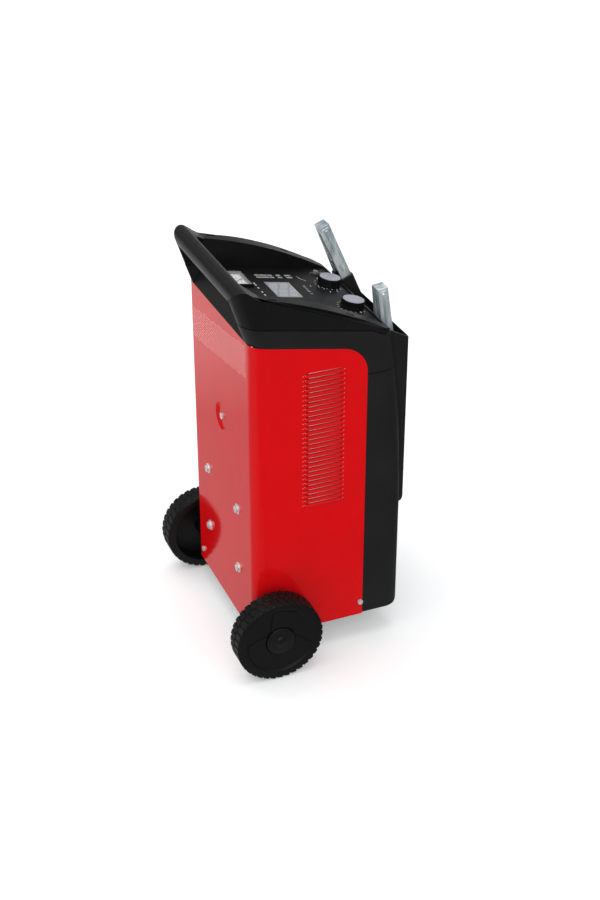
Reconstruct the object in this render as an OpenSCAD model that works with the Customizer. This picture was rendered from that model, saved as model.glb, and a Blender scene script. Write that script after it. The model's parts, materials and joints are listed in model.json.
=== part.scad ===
// Wheeled car battery charger and engine starter: red sheet steel body, black
// moulded top, front and clamp pocket, two wheels, two battery clamps.
// Millimetres. +Z up, rear towards +Y, ground at z = 0, x = 0 is the mid-plane.

/* [Body] */
// Width over the red steel sides
body_w = 240; // [225:1:270]
// Depth of the red steel sides, from the rear face to the black front
side_d = 161; // [150:1:190]
// Height of the body's underside above the ground
ground_gap = 41; // [36:1:46]
// Height of the red rear face
rear_h = 447; // [430:1:480]
// Thickness of the sheet steel cover
sheet_t = 1.2; // [0.8:0.1:1.6]
// Outer bend radius of the cover's two rear corners
bend_r = 16; // [10:1:22]
// Fall of the cover's upper edge and of the housing seam, in degrees
edge_fall = 10.5; // [8:0.5:12]
// Radius of the cover's upper front corner
cover_nose_r = 40; // [30:1:50]

/* [Louvres] */
// Number of louvres on each side
louvre_n = 29; // [15:1:29]
// Distance from one louvre to the next
louvre_pitch = 6.95; // [6:0.05:7.2]
// Length of each louvre
louvre_len = 54.5; // [40:0.5:58]
// Height of each louvre's hood
louvre_h = 4.4; // [3.5:0.1:5]
// How far a hood stands out of the side
louvre_out = 1.6; // [1:0.1:2]
// Height of the lowest louvre above the underside
louvre_low = 198; // [190:1:205]
// Distance of the louvres' rear ends from the rear face
louvre_back = 73; // [65:1:80]

/* [Black housing] */
// Wall thickness of the mouldings
wall = 3; // [2.5:0.1:4]
// How far the black front stands out from the red sides
front_d = 61; // [55:1:70]
// Height of the moulded band between the cover and the seam
band_h = 26; // [22:1:30]
// Height of the seam between front panel and top housing above the underside
front_seam_h = 381; // [375:1:386]
// Radius of the front's long backward curve
front_curve_r = 1750; // [1600:10:2400]
// Height above the underside at which that curve starts
front_curve_h = 159; // [140:1:180]
// Radius of the vertical front corners
front_corner_r = 25; // [18:1:30]
// Radius of the front's lower edge
front_foot_r = 12; // [6:1:16]
// Distance of the console's front edge behind the front face
nose_back = 28; // [26:1:32]

/* [Console and handle] */
// Width of each side rim of the console
rim_w = 22; // [18:1:24]
// Height of the rims above the rear face, where they leave the handle
rim_rise = 62; // [58:1:66]
// Slope of the rims just in front of the handle, in degrees
rim_fall = 12.2; // [8:0.2:14]
// Depth of the console floor below the seam
floor_drop = 2; // [1.4:0.1:2.6]
// Thickness of the handle bar, across
handle_d = 25; // [22:0.5:28]
// Height of the bar's centre above the rear face
handle_rise = 64.5; // [60:0.5:70]
// Distance of the bar's centre behind the rear face
handle_back = 9; // [6:0.5:12]
// Width of the finger gap between the bar and the console
finger_gap = 14.5; // [13:0.5:16]
// Chamfer along the top of the rims
rim_chamfer = 7; // [4:0.5:8]

/* [Clamp pocket] */
// Width of the pocket
pocket_w = 186; // [184:1:192]
// How far the pocket stands out from the front
pocket_d = 13.5; // [13:0.5:20]
// Height of the pocket's rim above the underside
pocket_top_h = 409; // [400:1:412]
// How far the pocket's sides rise from its front to the panel
pocket_rise = 15; // [8:0.5:18]
// Height of the pocket's bottom above the underside
pocket_low_h = 156; // [140:1:170]
// Radius of the pocket's outer corners
pocket_r = 10; // [6:1:14]

/* [Wheels] */
// Wheel radius
wheel_r = 62.5; // [60:0.5:66]
// Wheel width
wheel_w = 32.2; // [28:0.2:36]
// Distance from the cover's side to the wheel
wheel_gap = 12.4; // [10:0.2:15]
// Distance of the axle in front of the rear face
axle_in = 20; // [18:1:24]
// Axle radius
axle_r = 6; // [5:0.5:7]
// Number of tread blocks round each half of the tyre
tread_n = 37; // [24:1:40]
// Depth of the tread
tread_depth = 2.6; // [1.5:0.1:3.5]
// Radius of the hub cap
cap_r = 20.5; // [18:0.5:24]

/* [Front foot] */
// Width of the foot
foot_w = 56; // [46:1:60]
// Length of the foot along the body
foot_d = 42; // [34:1:46]
// Thickness of its rubber pad
pad_t = 6; // [4:0.5:8]

/* [Knobs] */
// Radius of the knobs' skirts
knob_r = 16; // [14.5:0.5:17]
// Height of the knobs over the console plate
knob_h = 11; // [9:0.5:14]
// Radius of the pale discs on the knobs
disc_r = 14.4; // [12:0.2:14.6]
// Distance of each knob from the mid-plane
knob_x = 39; // [34:0.5:42]
// Distance of the knobs from the console floor's front end
knob_in = 17.4; // [17:0.1:24]
// Radius of the knob shafts
shaft_r = 3; // [2.5:0.1:3.5]

/* [Meter] */
// Width of the ammeter's frame
meter_w = 50; // [44:1:54]
// Depth of the ammeter's frame along the console
meter_l = 36; // [32:1:38]
// Height of the ammeter's frame over the console plate
meter_h = 3.5; // [3:0.1:5]
// Distance of the meter's centre from the mid-plane
meter_x = 50; // [44:1:56]
// Radius of the breaker's reset button
button_r = 3.6; // [3:0.1:4.5]
// Travel of the reset button
button_travel = 2.5; // [1.5:0.1:3]

/* [Battery clamps] */
// Width of the clamp legs
leg_w = 15; // [14:0.2:16]
// Sheet thickness of the clamp legs
leg_t = 1.3; // [1:0.1:1.6]
// Length of the jaws above the pivot
jaw_len = 57; // [50:1:60]
// Length of the bare legs below the pivot
neck_len = 25; // [22:1:28]
// Length of the sleeved grips
grip_len = 41; // [38:1:46]
// Half width of the closed jaws at the tips
nose_half = 9.5; // [8.5:0.1:10.5]
// Outward lean of each leg, in degrees
leg_splay = 4; // [3.5:0.1:4.4]
// Wall thickness of the grips' sleeves
sleeve_t = 1.8; // [1.4:0.1:2]
// Radius of the pivot pins
pin_r = 2.5; // [2:0.1:3]
// Depth of the right clamp's foot below the pocket's rim
right_foot_in = 4.3; // [3:0.1:8]
// Depth of the left clamp's foot below the pocket's rim
left_foot_in = 62.3; // [56:0.1:70]

/* [Transformer] */
// Width of the laminated core
core_w = 133; // [124:1:140]
// Height of the laminated core
core_h = 112; // [106:1:120]
// Thickness of the stack
core_d = 60; // [50:1:66]
// Spacing of the core bolts across
bolt_dx = 116.7; // [112:0.1:118]
// Spacing of the core bolts in height
bolt_dz = 95.7; // [92:0.1:98]
// Height of the core's centre above the underside
core_mid_h = 129.6; // [126:0.2:136]
// Length of the spacers between the cover and the core
spacer_len = 24; // [23:0.5:28]

/* [Fits] */
// Radial clearance of running fits
run_fit = 0.05; // [0.03:0.01:0.08]
// Gap between pieces that lie side by side
gap = 0.3; // [0.2:0.05:0.4]
// Radial clearance of screws in sheet holes
screw_fit = 0.2; // [0.1:0.05:0.4]

/* [Hidden] */
$fn = 64;

RED = [0.84, 0.04, 0.05];
BLACK = [0.09, 0.09, 0.10];
RUBBER = [0.06, 0.06, 0.06];
STEEL = [0.66, 0.68, 0.70];
ZINC = [0.74, 0.78, 0.80];
PALE = [0.76, 0.75, 0.80];
COPPER = [0.72, 0.42, 0.22];
CORE = [0.30, 0.31, 0.33];
ALU = [0.80, 0.81, 0.82];

far = 400;
skin = 0.1;

// Main planes: y runs from the rear face forwards to negative values.
half_w = body_w / 2;
under_z = ground_gap;
rear_top = under_z + rear_h;
front_y = -(side_d + front_d);
pocket_y = front_y - pocket_d;
axle_z = wheel_r;
rear_y = (-pocket_y - (wheel_r - axle_in)) / 2;
front_seam_z = under_z + front_seam_h;
curve_z = under_z + front_curve_h;
pocket_top = under_z + pocket_top_h;
pocket_low = under_z + pocket_low_h;
nose_y = front_y + nose_back;

// Moves a piece from the rear face's frame to the model's frame, whose origin
// is on the ground under the middle of the model's box.
module placed() {
    translate([0, rear_y, 0]) children();
}

// Extrudes an outline drawn in y and z evenly to both sides of the mid-plane.
module across(w) {
    rotate([90, 0, 90]) linear_extrude(w, center = true) children();
}

// A bar along x, centred on the mid-plane.
module rod_x(r, len) {
    rotate([0, 90, 0]) cylinder(h = len, r = r, center = true);
}

// A bar along y from y = 0 backwards to y = len.
module rod_y(r, len) {
    rotate([-90, 0, 0]) cylinder(h = len, r = r);
}

module mirrored_x() {
    children();
    mirror([1, 0, 0]) children();
}

// Plan outline between y = front and y = back, with round corners.
module round_plan(w, back, front, r_back, r_front) {
    translate([-w / 2, front + r_front]) square([w, back - front - r_front - r_back]);
    translate([-w / 2 + r_back, back - r_back - skin]) square([w - 2 * r_back, r_back + skin]);
    translate([-w / 2 + r_front, front]) square([w - 2 * r_front, r_front + skin]);
    for (s = [-1, 1]) {
        translate([s * (w / 2 - r_back), back - r_back]) circle(r_back, $fn = 64);
        translate([s * (w / 2 - r_front), front + r_front]) circle(r_front, $fn = 64);
    }
}

// Points of an arc from angle a0 to a1 round the centre c.
function arc(c, r, a0, a1, n = 10) =
    [for (i = [0:n]) let (a = a0 + (a1 - a0) * i / n) c + r * [cos(a), sin(a)]];

// ---------------------------------------------------------------- outlines

// Upper edge of the cover and, band_h higher, the seam under the bezel.
function edge_z(y) = rear_top + y * tan(edge_fall);
function seam_z(y) = edge_z(y) + band_h;

// Front face: upright at first, then a long curve backwards.
function front_at(z) =
    z <= curve_z ? front_y : front_y + front_curve_r - sqrt(pow(front_curve_r, 2) - pow(z - curve_z, 2));

cover_nose_c = [
    -side_d + cover_nose_r,
    edge_z(-side_d + cover_nose_r) - cover_nose_r / cos(edge_fall)
];
cover_edge = concat(
    [[0, rear_top]],
    arc(cover_nose_c, cover_nose_r, 90 + edge_fall, 180)
);

// Rims: from the handle down to the nose, steeper towards the front.
rim_start = [-16, rear_top + rim_rise];
rim_end = [nose_y + 4, seam_z(nose_y) + 2];
rim_run = rim_start[0] - rim_end[0];
rim_sag = rim_start[1] - rim_end[1] - rim_run * tan(rim_fall);
rim_steps = 16;
function rim_z(d) = rim_start[1] - d * tan(rim_fall) - rim_sag * pow(d / rim_run, 2);
rim_line = [for (i = [0:rim_steps]) let (d = rim_run * i / rim_steps) [rim_start[0] - d, rim_z(d)]];

handle_r = handle_d / 2;
handle_c = [handle_back, rear_top + handle_rise];
post_low = [0, rear_top];
post_tilt = atan((handle_back + handle_r) / handle_rise);
post_r = 20;
turn_r = 32;
shoulder = [front_at(rear_top - 22) + 3, rear_top - 14.5];
panel_top = [front_at(front_seam_z), front_seam_z];

// Side outline of everything black above the cover and the front panel; the
// front face itself is cut by front_solid.
crown_line = concat(
    [post_low],
    arc(handle_c, handle_r, -post_tilt, 125, 14),
    rim_line,
    [
        [nose_y, seam_z(nose_y)],
        shoulder,
        shoulder - [12, 30],
        [front_y - 5, shoulder[1] - 30],
        [front_y - 5, front_seam_z],
        [-side_d, front_seam_z]
    ],
    arc(cover_nose_c, cover_nose_r, 180, 90 + edge_fall)
);

floor_front = [nose_y + 3, seam_z(nose_y + 3) - floor_drop];
floor_rear = [-22, seam_z(-22) - floor_drop];
wall_top = floor_rear[1] + 6;
console_slope = edge_fall;
console_len = (floor_rear[0] - floor_front[0]) / cos(console_slope);
console_w = body_w - 2 * rim_w;
gap_front_y = handle_back - handle_r - finger_gap;
ledge = [[0, rear_top], [-9, rear_top + 12], [gap_front_y, wall_top]];

// Puts a piece on the console floor: x across, y up the slope from its front
// end, z out of the floor.
module on_console(x = 0, v = 0, lift = 0) {
    translate([0, floor_front[0], floor_front[1]])
        rotate([console_slope, 0, 0])
            translate([x, v, lift]) children();
}

// The seam dips in a low lobe under the crown's nose.
lobe_d = 5;
lobe_len = 31;
lobe_steps = 12;
lobe = [for (i = [lobe_steps:-1:0])
    let (y = nose_y + 28 - lobe_len * i / lobe_steps)
    [y, seam_z(y) - lobe_d * (1 - cos(300 * i / lobe_steps)) / 2]];

module above_seam(lift = 0) {
    across(2 * far) polygon(concat(
        [
            [far, seam_z(0) + far * tan(edge_fall) + lift],
            [far, 2 * rear_top],
            [-far, 2 * rear_top],
            [-far, lobe[0][1] + lift]
        ],
        [for (p = lobe) p + [0, lift]]
    ));
}

// Rounds the crown's plan: the rear corners lean back with the posts.
module rear_corner_prism() {
    translate([0, post_low[0], post_low[1]])
        rotate([-post_tilt, 0, 0])
            translate([0, 0, -far / 2])
                linear_extrude(far) round_plan(body_w, 0, -far, post_r, 1);
}

// Everything behind the front face and between the sides, with the front's
// rounded corners; inset moves all faces inwards.
module front_solid(inset) {
    w = body_w - 2 * inset;
    r = front_corner_r - inset;
    reach = front_curve_r - inset;
    translate([0, 0, curve_z - far]) linear_extrude(far) round_plan(w, far, front_y + inset, 1, r);
    translate([0, front_y + front_curve_r, curve_z])
        rotate([90, 0, -90])
            rotate_extrude(angle = 15, $fn = 960)
                rotate(-90) round_plan(w, reach, reach - 300, r, 1);
}

module crown() {
    intersection() {
        difference() {
            across(2 * body_w) polygon(crown_line);
            across(console_w) polygon(concat(ledge, [
                [gap_front_y, 2 * rear_top],
                [far, 2 * rear_top],
                [far, rear_top - skin],
                [0, rear_top - skin]
            ]));
        }
        rear_corner_prism();
        front_solid(0);
    }
    translate([0, handle_c[0], handle_c[1]]) rod_x(handle_r - skin, console_w + 2);
    // Bends between the bar and the rims
    intersection() {
        across(body_w - 2) polygon(crown_line);
        mirrored_x() translate([half_w - rim_w / 2 - turn_r, handle_c[0] - turn_r, handle_c[1]])
            rotate_extrude(angle = 90) translate([turn_r, 0]) circle(handle_r - 0.8);
    }
}

// ------------------------------------------------------------------ screws

cover_bore_r = 2;
rear_bolt_r = 3;
rear_head_r = 5;
rear_washer_r = 7.5;
sink_screw_z = under_z + 291.5;
dish_r = 21.5;
dish_d = 3;
dish_slant = 3;
side_screw = [-side_d + 3.5, under_z + 21];
corner_screw = [half_w - 28, under_z + 20];
screw_head_r = 3.8;
core_mid_z = under_z + core_mid_h;
bolt_places = [for (sx = [-1, 1], sz = [-1, 1]) [sx * bolt_dx / 2, core_mid_z + sz * bolt_dz / 2]];

module pan_screw(r, head_r, len) {
    head_h = head_r * 0.62;
    difference() {
        union() {
            rod_y(r, len);
            translate([0, len, 0]) rod_y(head_r, head_h);
        }
        for (turn = [0, 90])
            translate([0, len + head_h * 0.95, 0]) rotate([0, turn, 0])
                cube([head_r * 1.2, head_h * 0.9, head_r * 0.26], center = true);
    }
}

// ------------------------------------------------------------------- cover

module louvre_rows() {
    for (i = [0:louvre_n - 1])
        translate([0, -louvre_back, under_z + louvre_low + i * louvre_pitch]) children();
}

module louvre_hood() {
    translate([half_w - sheet_t / 2, 0, 0])
        rotate([90, 0, 0])
            linear_extrude(louvre_len)
                polygon([[0, 0], [sheet_t / 2 + louvre_out, 0],
                    [sheet_t / 2 + louvre_out, 0.9], [0, louvre_h]]);
}

module louvre_slot() {
    lip = 0.7;
    deep = sheet_t + skin;
    rise = (louvre_h - 0.9) / (louvre_out + sheet_t / 2);
    translate([half_w, -1, 0])
        rotate([90, 0, 0])
            linear_extrude(louvre_len - 2)
                polygon([[-deep, -1], [louvre_out - lip, -1], [louvre_out - lip, 0.3],
                    [-deep, 0.3 + rise * (louvre_out - lip + deep)]]);
}

module cover() {
    color(RED) placed() {
        difference() {
            union() {
                intersection() {
                    translate([0, 0, under_z])
                        linear_extrude(2 * far) round_plan(body_w, 0, -2 * far, bend_r, 1);
                    across(body_w + 2) polygon(concat(
                        [[0, under_z], [0, rear_top]],
                        arc(cover_nose_c, cover_nose_r, 90 + edge_fall, 180),
                        [[-side_d, under_z]]
                    ));
                    difference() {
                        cube([far, 2 * far, 4 * far], center = true);
                        translate([0, 0, -far])
                            linear_extrude(4 * far)
                                round_plan(body_w - 2 * sheet_t, -sheet_t, -2 * far, bend_r - sheet_t, 1);
                    }
                }
                mirrored_x() louvre_rows() louvre_hood();
                translate([0, -dish_d - sheet_t, sink_screw_z]) rod_y(dish_r, dish_d + sheet_t - skin);
            }
            translate([0, -dish_d, sink_screw_z])
                rotate([-90, 0, 0])
                    cylinder(h = dish_d + skin, r1 = dish_r - sheet_t - dish_slant, r2 = dish_r - sheet_t);
            translate([0, -far / 2, sink_screw_z]) rod_y(cover_bore_r + screw_fit, far);
            for (p = bolt_places)
                translate([p[0], -far / 2, p[1]]) rod_y(rear_bolt_r + screw_fit, far);
            for (s = [-1, 1])
                translate([s * corner_screw[0], -far / 2, corner_screw[1]])
                    rod_y(cover_bore_r + screw_fit, far);
            translate([0, side_screw[0], side_screw[1]]) rod_x(cover_bore_r + screw_fit, 2 * body_w);
            translate([0, -axle_in, axle_z]) rod_x(axle_r + 4 * screw_fit, 2 * body_w);
            mirrored_x() louvre_rows() louvre_slot();
        }
    }
}

// ------------------------------------------------------------- floor plate

plate_t = 2;
plate_in = sheet_t + gap;
plate_w = body_w - 2 * plate_in;
flange_h = axle_z - under_z + axle_r + 14;
front_flange_h = 30;

module floor_plate() {
    color(STEEL) placed() difference() {
        intersection() {
            translate([0, 0, under_z])
                linear_extrude(flange_h) round_plan(plate_w, -plate_in, -side_d, bend_r - plate_in, 1);
            difference() {
                translate([0, -side_d / 2, under_z + flange_h / 2])
                    cube([body_w, 2 * side_d, flange_h], center = true);
                translate([0, 0, under_z + plate_t])
                    linear_extrude(far) round_plan(plate_w - 2 * plate_t, -plate_in - plate_t,
                        -side_d + plate_t, bend_r - plate_in - plate_t, 1);
                translate([-far / 2, -side_d - skin, under_z + front_flange_h])
                    cube([far, side_d - 2 * axle_in - axle_r, far]);
            }
        }
        translate([0, -axle_in, axle_z]) rod_x(axle_r + run_fit, 2 * body_w);
        for (s = [-1, 1])
            translate([s * corner_screw[0], -far / 4, corner_screw[1]]) rod_y(cover_bore_r + run_fit, far);
        translate([0, side_screw[0], side_screw[1]])
            rod_x(cover_bore_r + run_fit, 2 * body_w);
        for (i = [-4:4])
            translate([i * 18 - 3, -side_d + 44, under_z - skin]) cube([6, 60, 3 * plate_t]);
        for (p = foot_holes)
            translate([p[0], p[1], under_z - skin]) cylinder(h = 3 * plate_t, r = foot_screw_r + screw_fit);
    }
}

// -------------------------------------------------------------- front foot

foot_h = ground_gap - pad_t;
foot_t = 4;
foot_mid_y = -side_d + 6 + foot_d / 2;
foot_screw_r = 2.5;
foot_flange = 9;
foot_holes = [for (sx = [-1, 1]) [sx * (foot_w / 2 - foot_flange / 2), foot_mid_y]];

module front_foot() {
    color(BLACK) placed() translate([0, foot_mid_y, 0]) difference() {
        union() {
            translate([-foot_w / 2 + foot_flange, -foot_d / 2, pad_t])
                cube([foot_w - 2 * foot_flange, foot_d, foot_h]);
            translate([-foot_w / 2, -foot_d / 2, ground_gap - foot_t]) cube([foot_w, foot_d, foot_t]);
        }
        translate([-foot_w / 2 + foot_flange + foot_t, -foot_d / 2 + foot_t, pad_t + foot_t])
            cube([foot_w - 2 * foot_flange - 2 * foot_t, foot_d - 2 * foot_t, foot_h]);
        for (p = foot_holes)
            translate([p[0], 0, ground_gap - 2 * foot_t])
                cylinder(h = 3 * foot_t, r = foot_screw_r + screw_fit);
    }
}

module foot_pad() {
    color(RUBBER) placed() translate([0, foot_mid_y, 0]) difference() {
        linear_extrude(pad_t)
            round_plan(foot_w - 2 * foot_flange + 4, foot_d / 2 + 2, -foot_d / 2 - 2, 5, 5);
        translate([-foot_w / 2 + foot_flange, -foot_d / 2, pad_t - 2])
            cube([foot_w - 2 * foot_flange, foot_d, 3]);
    }
}

module foot_screws() {
    tail = 3;
    color(ZINC) placed() for (p = foot_holes)
        translate([p[0], p[1], under_z + plate_t + tail])
            rotate([-90, 0, 0]) pan_screw(foot_screw_r, 4.2, tail + plate_t + foot_t);
}

// ---------------------------------------------------------- black mouldings

rim_low = rim_z(rim_start[0] - floor_front[0]);
rim_tilt = atan((rim_start[1] - rim_low) / (rim_start[0] - floor_front[0]));
slot_len = 12;
slot_w = 3.6;
bezel_screw_y = [-32, -138];
rim_mid_x = half_w - 8;

// Pocket on the crest of a rim for one of the bezel's screws.
module rim_places() {
    for (y = bezel_screw_y)
        translate([rim_mid_x, y, rim_z(rim_start[0] - y)])
            rotate([rim_tilt, 0, 0]) children();
}

// Floor of the console, hung between the rims.
module console_tray() {
    w = console_w + 2 * (wall - skin);
    translate([-w / 2, 1, -wall]) cube([w, console_len - 3, wall + 3]);
    translate([-w / 2, -2, -wall]) cube([w, 5, wall + 0.5]);
    translate([gap - console_w / 2, console_len - 4, -wall])
        cube([console_w - 2 * gap, 6, wall + 5]);
}

module top_bezel() {
    color(BLACK) placed() difference() {
        union() {
            intersection() {
                crown();
                above_seam(0.15);
            }
            on_console() console_tray();
        }
        // Console recess
        on_console() translate([-console_w / 2, 0, 0]) cube([console_w, console_len, far]);
        across(console_w + 2 * skin) polygon([
            [gap_front_y + skin, wall_top],
            [gap_front_y + skin, 2 * rear_top],
            [floor_rear[0] - 40, 2 * rear_top],
            [floor_rear[0] - 40, wall_top]
        ]);
        // Hollow rims
        for (s = [-1, 1]) translate([s * (half_w - rim_w / 2), 0, 0])
            across(rim_w - 2 * wall) polygon(concat(
                [[-26, 0]],
                [for (q = rim_line) if (q[0] < -26 && q[0] > floor_front[0]) q - [0, rim_chamfer + wall]],
                [[floor_front[0], 0]]
            ));
        // Chamfers along the rims
        mirrored_x() translate([half_w, floor_front[0], rim_low])
            rotate([rim_tilt, 0, 0])
                rotate([0, 45, 0])
                    translate([-rim_chamfer * 0.7, -far / 2, 0]) cube([far, far, far]);
        // Screw pockets in the rims
        mirrored_x() rim_places() translate([0, 0, -3])
            linear_extrude(20) round_plan(slot_w, slot_len / 2, -slot_len / 2, slot_w / 3, slot_w / 3);
        mirrored_x() rim_places() translate([0, 0, -14]) cylinder(h = 20, r = 1.5 + run_fit);
        // Openings for the parts under the console
        for (s = [-1, 1])
            on_console(s * knob_x, knob_in, -2 * wall) cylinder(h = 4 * wall, r = bush_r + screw_fit);
        on_console(meter_x, meter_v, 0) cube([meter_w - 6, meter_l - 6, 4 * wall], center = true);
        on_console(button_x, button_v, -2 * wall) cylinder(h = 4 * wall, r = button_r + 1.2);
    }
}

module top_housing() {
    back = gap_front_y - wall - 2;
    front = shoulder[0] - far;
    color(BLACK) placed() difference() {
        crown();
        above_seam();
        // Hollow inside, narrower between the rounded rear corners
        difference() {
            intersection() {
                across(2 * body_w) polygon([
                    [-wall - 1.5, under_z],
                    [-wall - 1.5, rear_top + 3],
                    [-wall - 11, rear_top + 13.5],
                    [back, wall_top + 2],
                    [back, 2 * rear_top],
                    [nose_y + wall + 2, 2 * rear_top],
                    [shoulder[0] + wall, shoulder[1] - 4],
                    [front, shoulder[1] - 4],
                    [front, under_z]
                ]);
                front_solid(wall);
            }
            mirrored_x() translate([console_w / 2, -post_r - 2, 0]) cube(2 * far);
        }
    }
}

module front_outline(back, inset, top) {
    low = under_z + 2 + front_foot_r;
    polygon(concat(
        [[back, under_z + 2 + inset]],
        arc([front_y + front_foot_r, low], front_foot_r - inset, 270, 180, 8),
        [[front_y - 5, low], [front_y - 5, top], [back, top]]
    ));
}

gland_z = pocket_low + 22;
gland_x = [-16, 8, 32];
gland_bore_r = [5.2, 4.2, 5.2];

module front_panel() {
    color(BLACK) placed() difference() {
        intersection() {
            across(2 * body_w) front_outline(-side_d, 0, front_seam_z);
            front_solid(0);
        }
        intersection() {
            across(2 * body_w) front_outline(0, wall, 2 * far);
            front_solid(wall);
        }
        for (i = [0:2])
            translate([gland_x[i], front_y - 20, gland_z]) rod_y(gland_bore_r[i] + 2.5, 40);
    }
}

module lead_glands() {
    color(RUBBER) placed() for (i = [0:2])
        translate([gland_x[i], front_y, gland_z]) difference() {
            union() {
                translate([0, -2.5, 0]) rod_y(gland_bore_r[i] + 4, 2.4);
                translate([0, -2.5, 0]) rod_y(gland_bore_r[i] + 2.4, wall + 5);
                translate([0, wall + 0.4, 0]) rod_y(gland_bore_r[i] + 4, 2.4);
            }
            translate([0, -10, 0]) rod_y(gland_bore_r[i], 40);
        }
}

// ------------------------------------------------------------ clamp pocket

// Each parked clamp stands on ribs with its front corner near the pocket's
// front wall, and leans back on the crown or on the panel.
leg_depth = 4.5;
ear_r = 7.5;
clear_r = 9.5;
grip_slack = 0.2;
grip_h = leg_w / 2 + sleeve_t + grip_slack;
grip_low = jaw_len + neck_len + grip_len + sleeve_t;
total_len = grip_low - sleeve_t;
right_foot = [pocket_y + wall + 1.3, pocket_top - right_foot_in];
left_foot = [pocket_y + wall + 0.43, pocket_top - left_foot_in];
function lean_on(foot, rest, slack) =
    let (v = rest - foot) atan2(v[0], v[1]) - asin((2 * grip_h + slack) / norm(v));

// Parked clamp: [backward lean, x, y and z of its nose].
function parked(x, foot, lean) = [
    lean,
    x,
    foot[0] + grip_low * sin(lean) + grip_h * cos(lean),
    foot[1] + grip_low * cos(lean) - grip_h * sin(lean)
];
clamp_right = parked(pocket_w / 2 - 26.1, right_foot, lean_on(right_foot, shoulder, 0.42));
clamp_left = parked(40.2 - pocket_w / 2, left_foot, lean_on(left_foot, panel_top, 0.72));
clamp_places = [clamp_right, clamp_left];

// Height of the lowest edge of a parked clamp's grips, less the gap.
function clamp_seat(c) = c[3] - grip_low * cos(c[0]) - grip_h * sin(c[0]) - gap;

rim_r = 5;
rib_t = 2.5;
swing_drop = 2;
grip_mid = nose_half + (jaw_len + neck_len + grip_len) * tan(leg_splay) - leg_depth / 2;
rib_tops = [clamp_seat(clamp_right), clamp_seat(clamp_left)];

module pocket_outline(inset) {
    r = pocket_r - inset;
    y = pocket_y + inset;
    run = panel_top[0] - pocket_y;
    slope = atan(pocket_rise / run);
    far_y = pocket_y + 2 * run;
    polygon(concat(
        [[far_y, pocket_low + inset]],
        arc([y + r, pocket_low + inset + r], r, 270, 180, 6),
        inset > 0
            ? [[y, 2 * pocket_top]]
            : arc([y + rim_r, pocket_top - rim_r], rim_r, 180, 90 + slope, 6),
        [[far_y, inset > 0 ? 2 * pocket_top : pocket_top + (2 * run - rim_r) * tan(slope)]]
    ));
}

// Everything behind the front face.
module behind_front() {
    across(2 * far) polygon(concat(
        [[0, 0], [front_y - 0.02, 0]],
        [for (i = [0:16]) let (z = curve_z + (rear_top - curve_z) * i / 16) [front_at(z) - 0.02, z]],
        [[0, rear_top]]
    ));
}

module clamp_pocket() {
    color(BLACK) placed() difference() {
        union() {
            difference() {
                intersection() {
                    across(pocket_w) pocket_outline(0);
                    linear_extrude(2 * far) round_plan(pocket_w, 0, pocket_y, 1, pocket_r);
                }
                intersection() {
                    across(pocket_w - 2 * wall) pocket_outline(wall);
                    linear_extrude(2 * far)
                        round_plan(pocket_w - 2 * wall, 0, pocket_y + wall, 1, rim_r);
                }
            }
            // Ribs under the grips of the parked clamps; those under the moving
            // grips are lower, so that the clamps can open where they stand
            for (c = [0, 1], s = [-1, 1])
                translate([clamp_places[c][1] + s * grip_mid - rib_t / 2, pocket_y + wall / 2, pocket_low])
                    cube([rib_t, 30, rib_tops[c] - pocket_low - (s > 0 ? swing_drop : 0)]);
        }
        behind_front();
    }
}

// ----------------------------------------------------------------- console

plate_h = 1;
meter_v = console_len - meter_l / 2 - 3;
meter_depth = 22;
button_x = console_w / 2 - 22;
button_v = 22;
bush_r = 5;
bush_len = 9;
nut_h = 2.2;
nut_r = 7;

module control_plate() {
    color([0.12, 0.12, 0.13]) placed() on_console() difference() {
        translate([-console_w / 2 + gap, gap, 0])
            cube([console_w - 2 * gap, console_len - 2 * gap, plate_h]);
        for (s = [-1, 1])
            translate([s * knob_x, knob_in, -skin]) cylinder(h = 3 * plate_h, r = bush_r + screw_fit);
        translate([meter_x, meter_v, 0]) cube([meter_w - 6, meter_l - 6, 4 * plate_h], center = true);
        translate([button_x, button_v, -skin]) cylinder(h = 3 * plate_h, r = button_r + 1.2);
    }
}

needle_v = meter_v - meter_l / 2 + 9;
needle_lift = plate_h + meter_h - 2.4;
needle_len = meter_l - 18;

module meter_case() {
    color(BLACK) placed() on_console(meter_x, meter_v) difference() {
        union() {
            translate([-meter_w / 2, -meter_l / 2, plate_h]) cube([meter_w, meter_l, meter_h]);
            translate([-meter_w / 2 + 3.3, -meter_l / 2 + 3.3, -meter_depth])
                cube([meter_w - 6.6, meter_l - 6.6, meter_depth + plate_h + 1]);
        }
        translate([-meter_w / 2 + 2.5, -meter_l / 2 + 2.5, plate_h + meter_h - 1])
            cube([meter_w - 5, meter_l - 5, 3]);
        translate([-meter_w / 2 + 5, -meter_l / 2 + 5, -meter_depth + 2])
            cube([meter_w - 10, meter_l - 10, meter_depth + 10]);
    }
}

module meter_dial() {
    color([0.93, 0.93, 0.90]) placed() on_console(meter_x, meter_v)
        difference() {
            translate([-meter_w / 2 + 5, -meter_l / 2 + 5, plate_h + meter_h - 4.4])
                cube([meter_w - 10, meter_l - 10, 0.8]);
            translate([0, needle_v - meter_v, -2]) cylinder(h = 20, r = 1 + gap);
        }
}

module meter_needle() {
    color([0.8, 0.1, 0.05]) placed() on_console(meter_x, needle_v, needle_lift) {
        translate([0, 0, -8]) cylinder(h = 8.8, r = 1);
        rotate([0, 0, 40]) translate([-0.4, 0, 0]) cube([0.8, needle_len, 0.5]);
    }
}

module meter_lens() {
    color([0.85, 0.9, 0.92, 0.35]) placed() on_console(meter_x, meter_v)
        translate([-meter_w / 2 + 2.6, -meter_l / 2 + 2.6, plate_h + meter_h - 0.95])
            cube([meter_w - 5.2, meter_l - 5.2, 0.9]);
}

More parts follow.
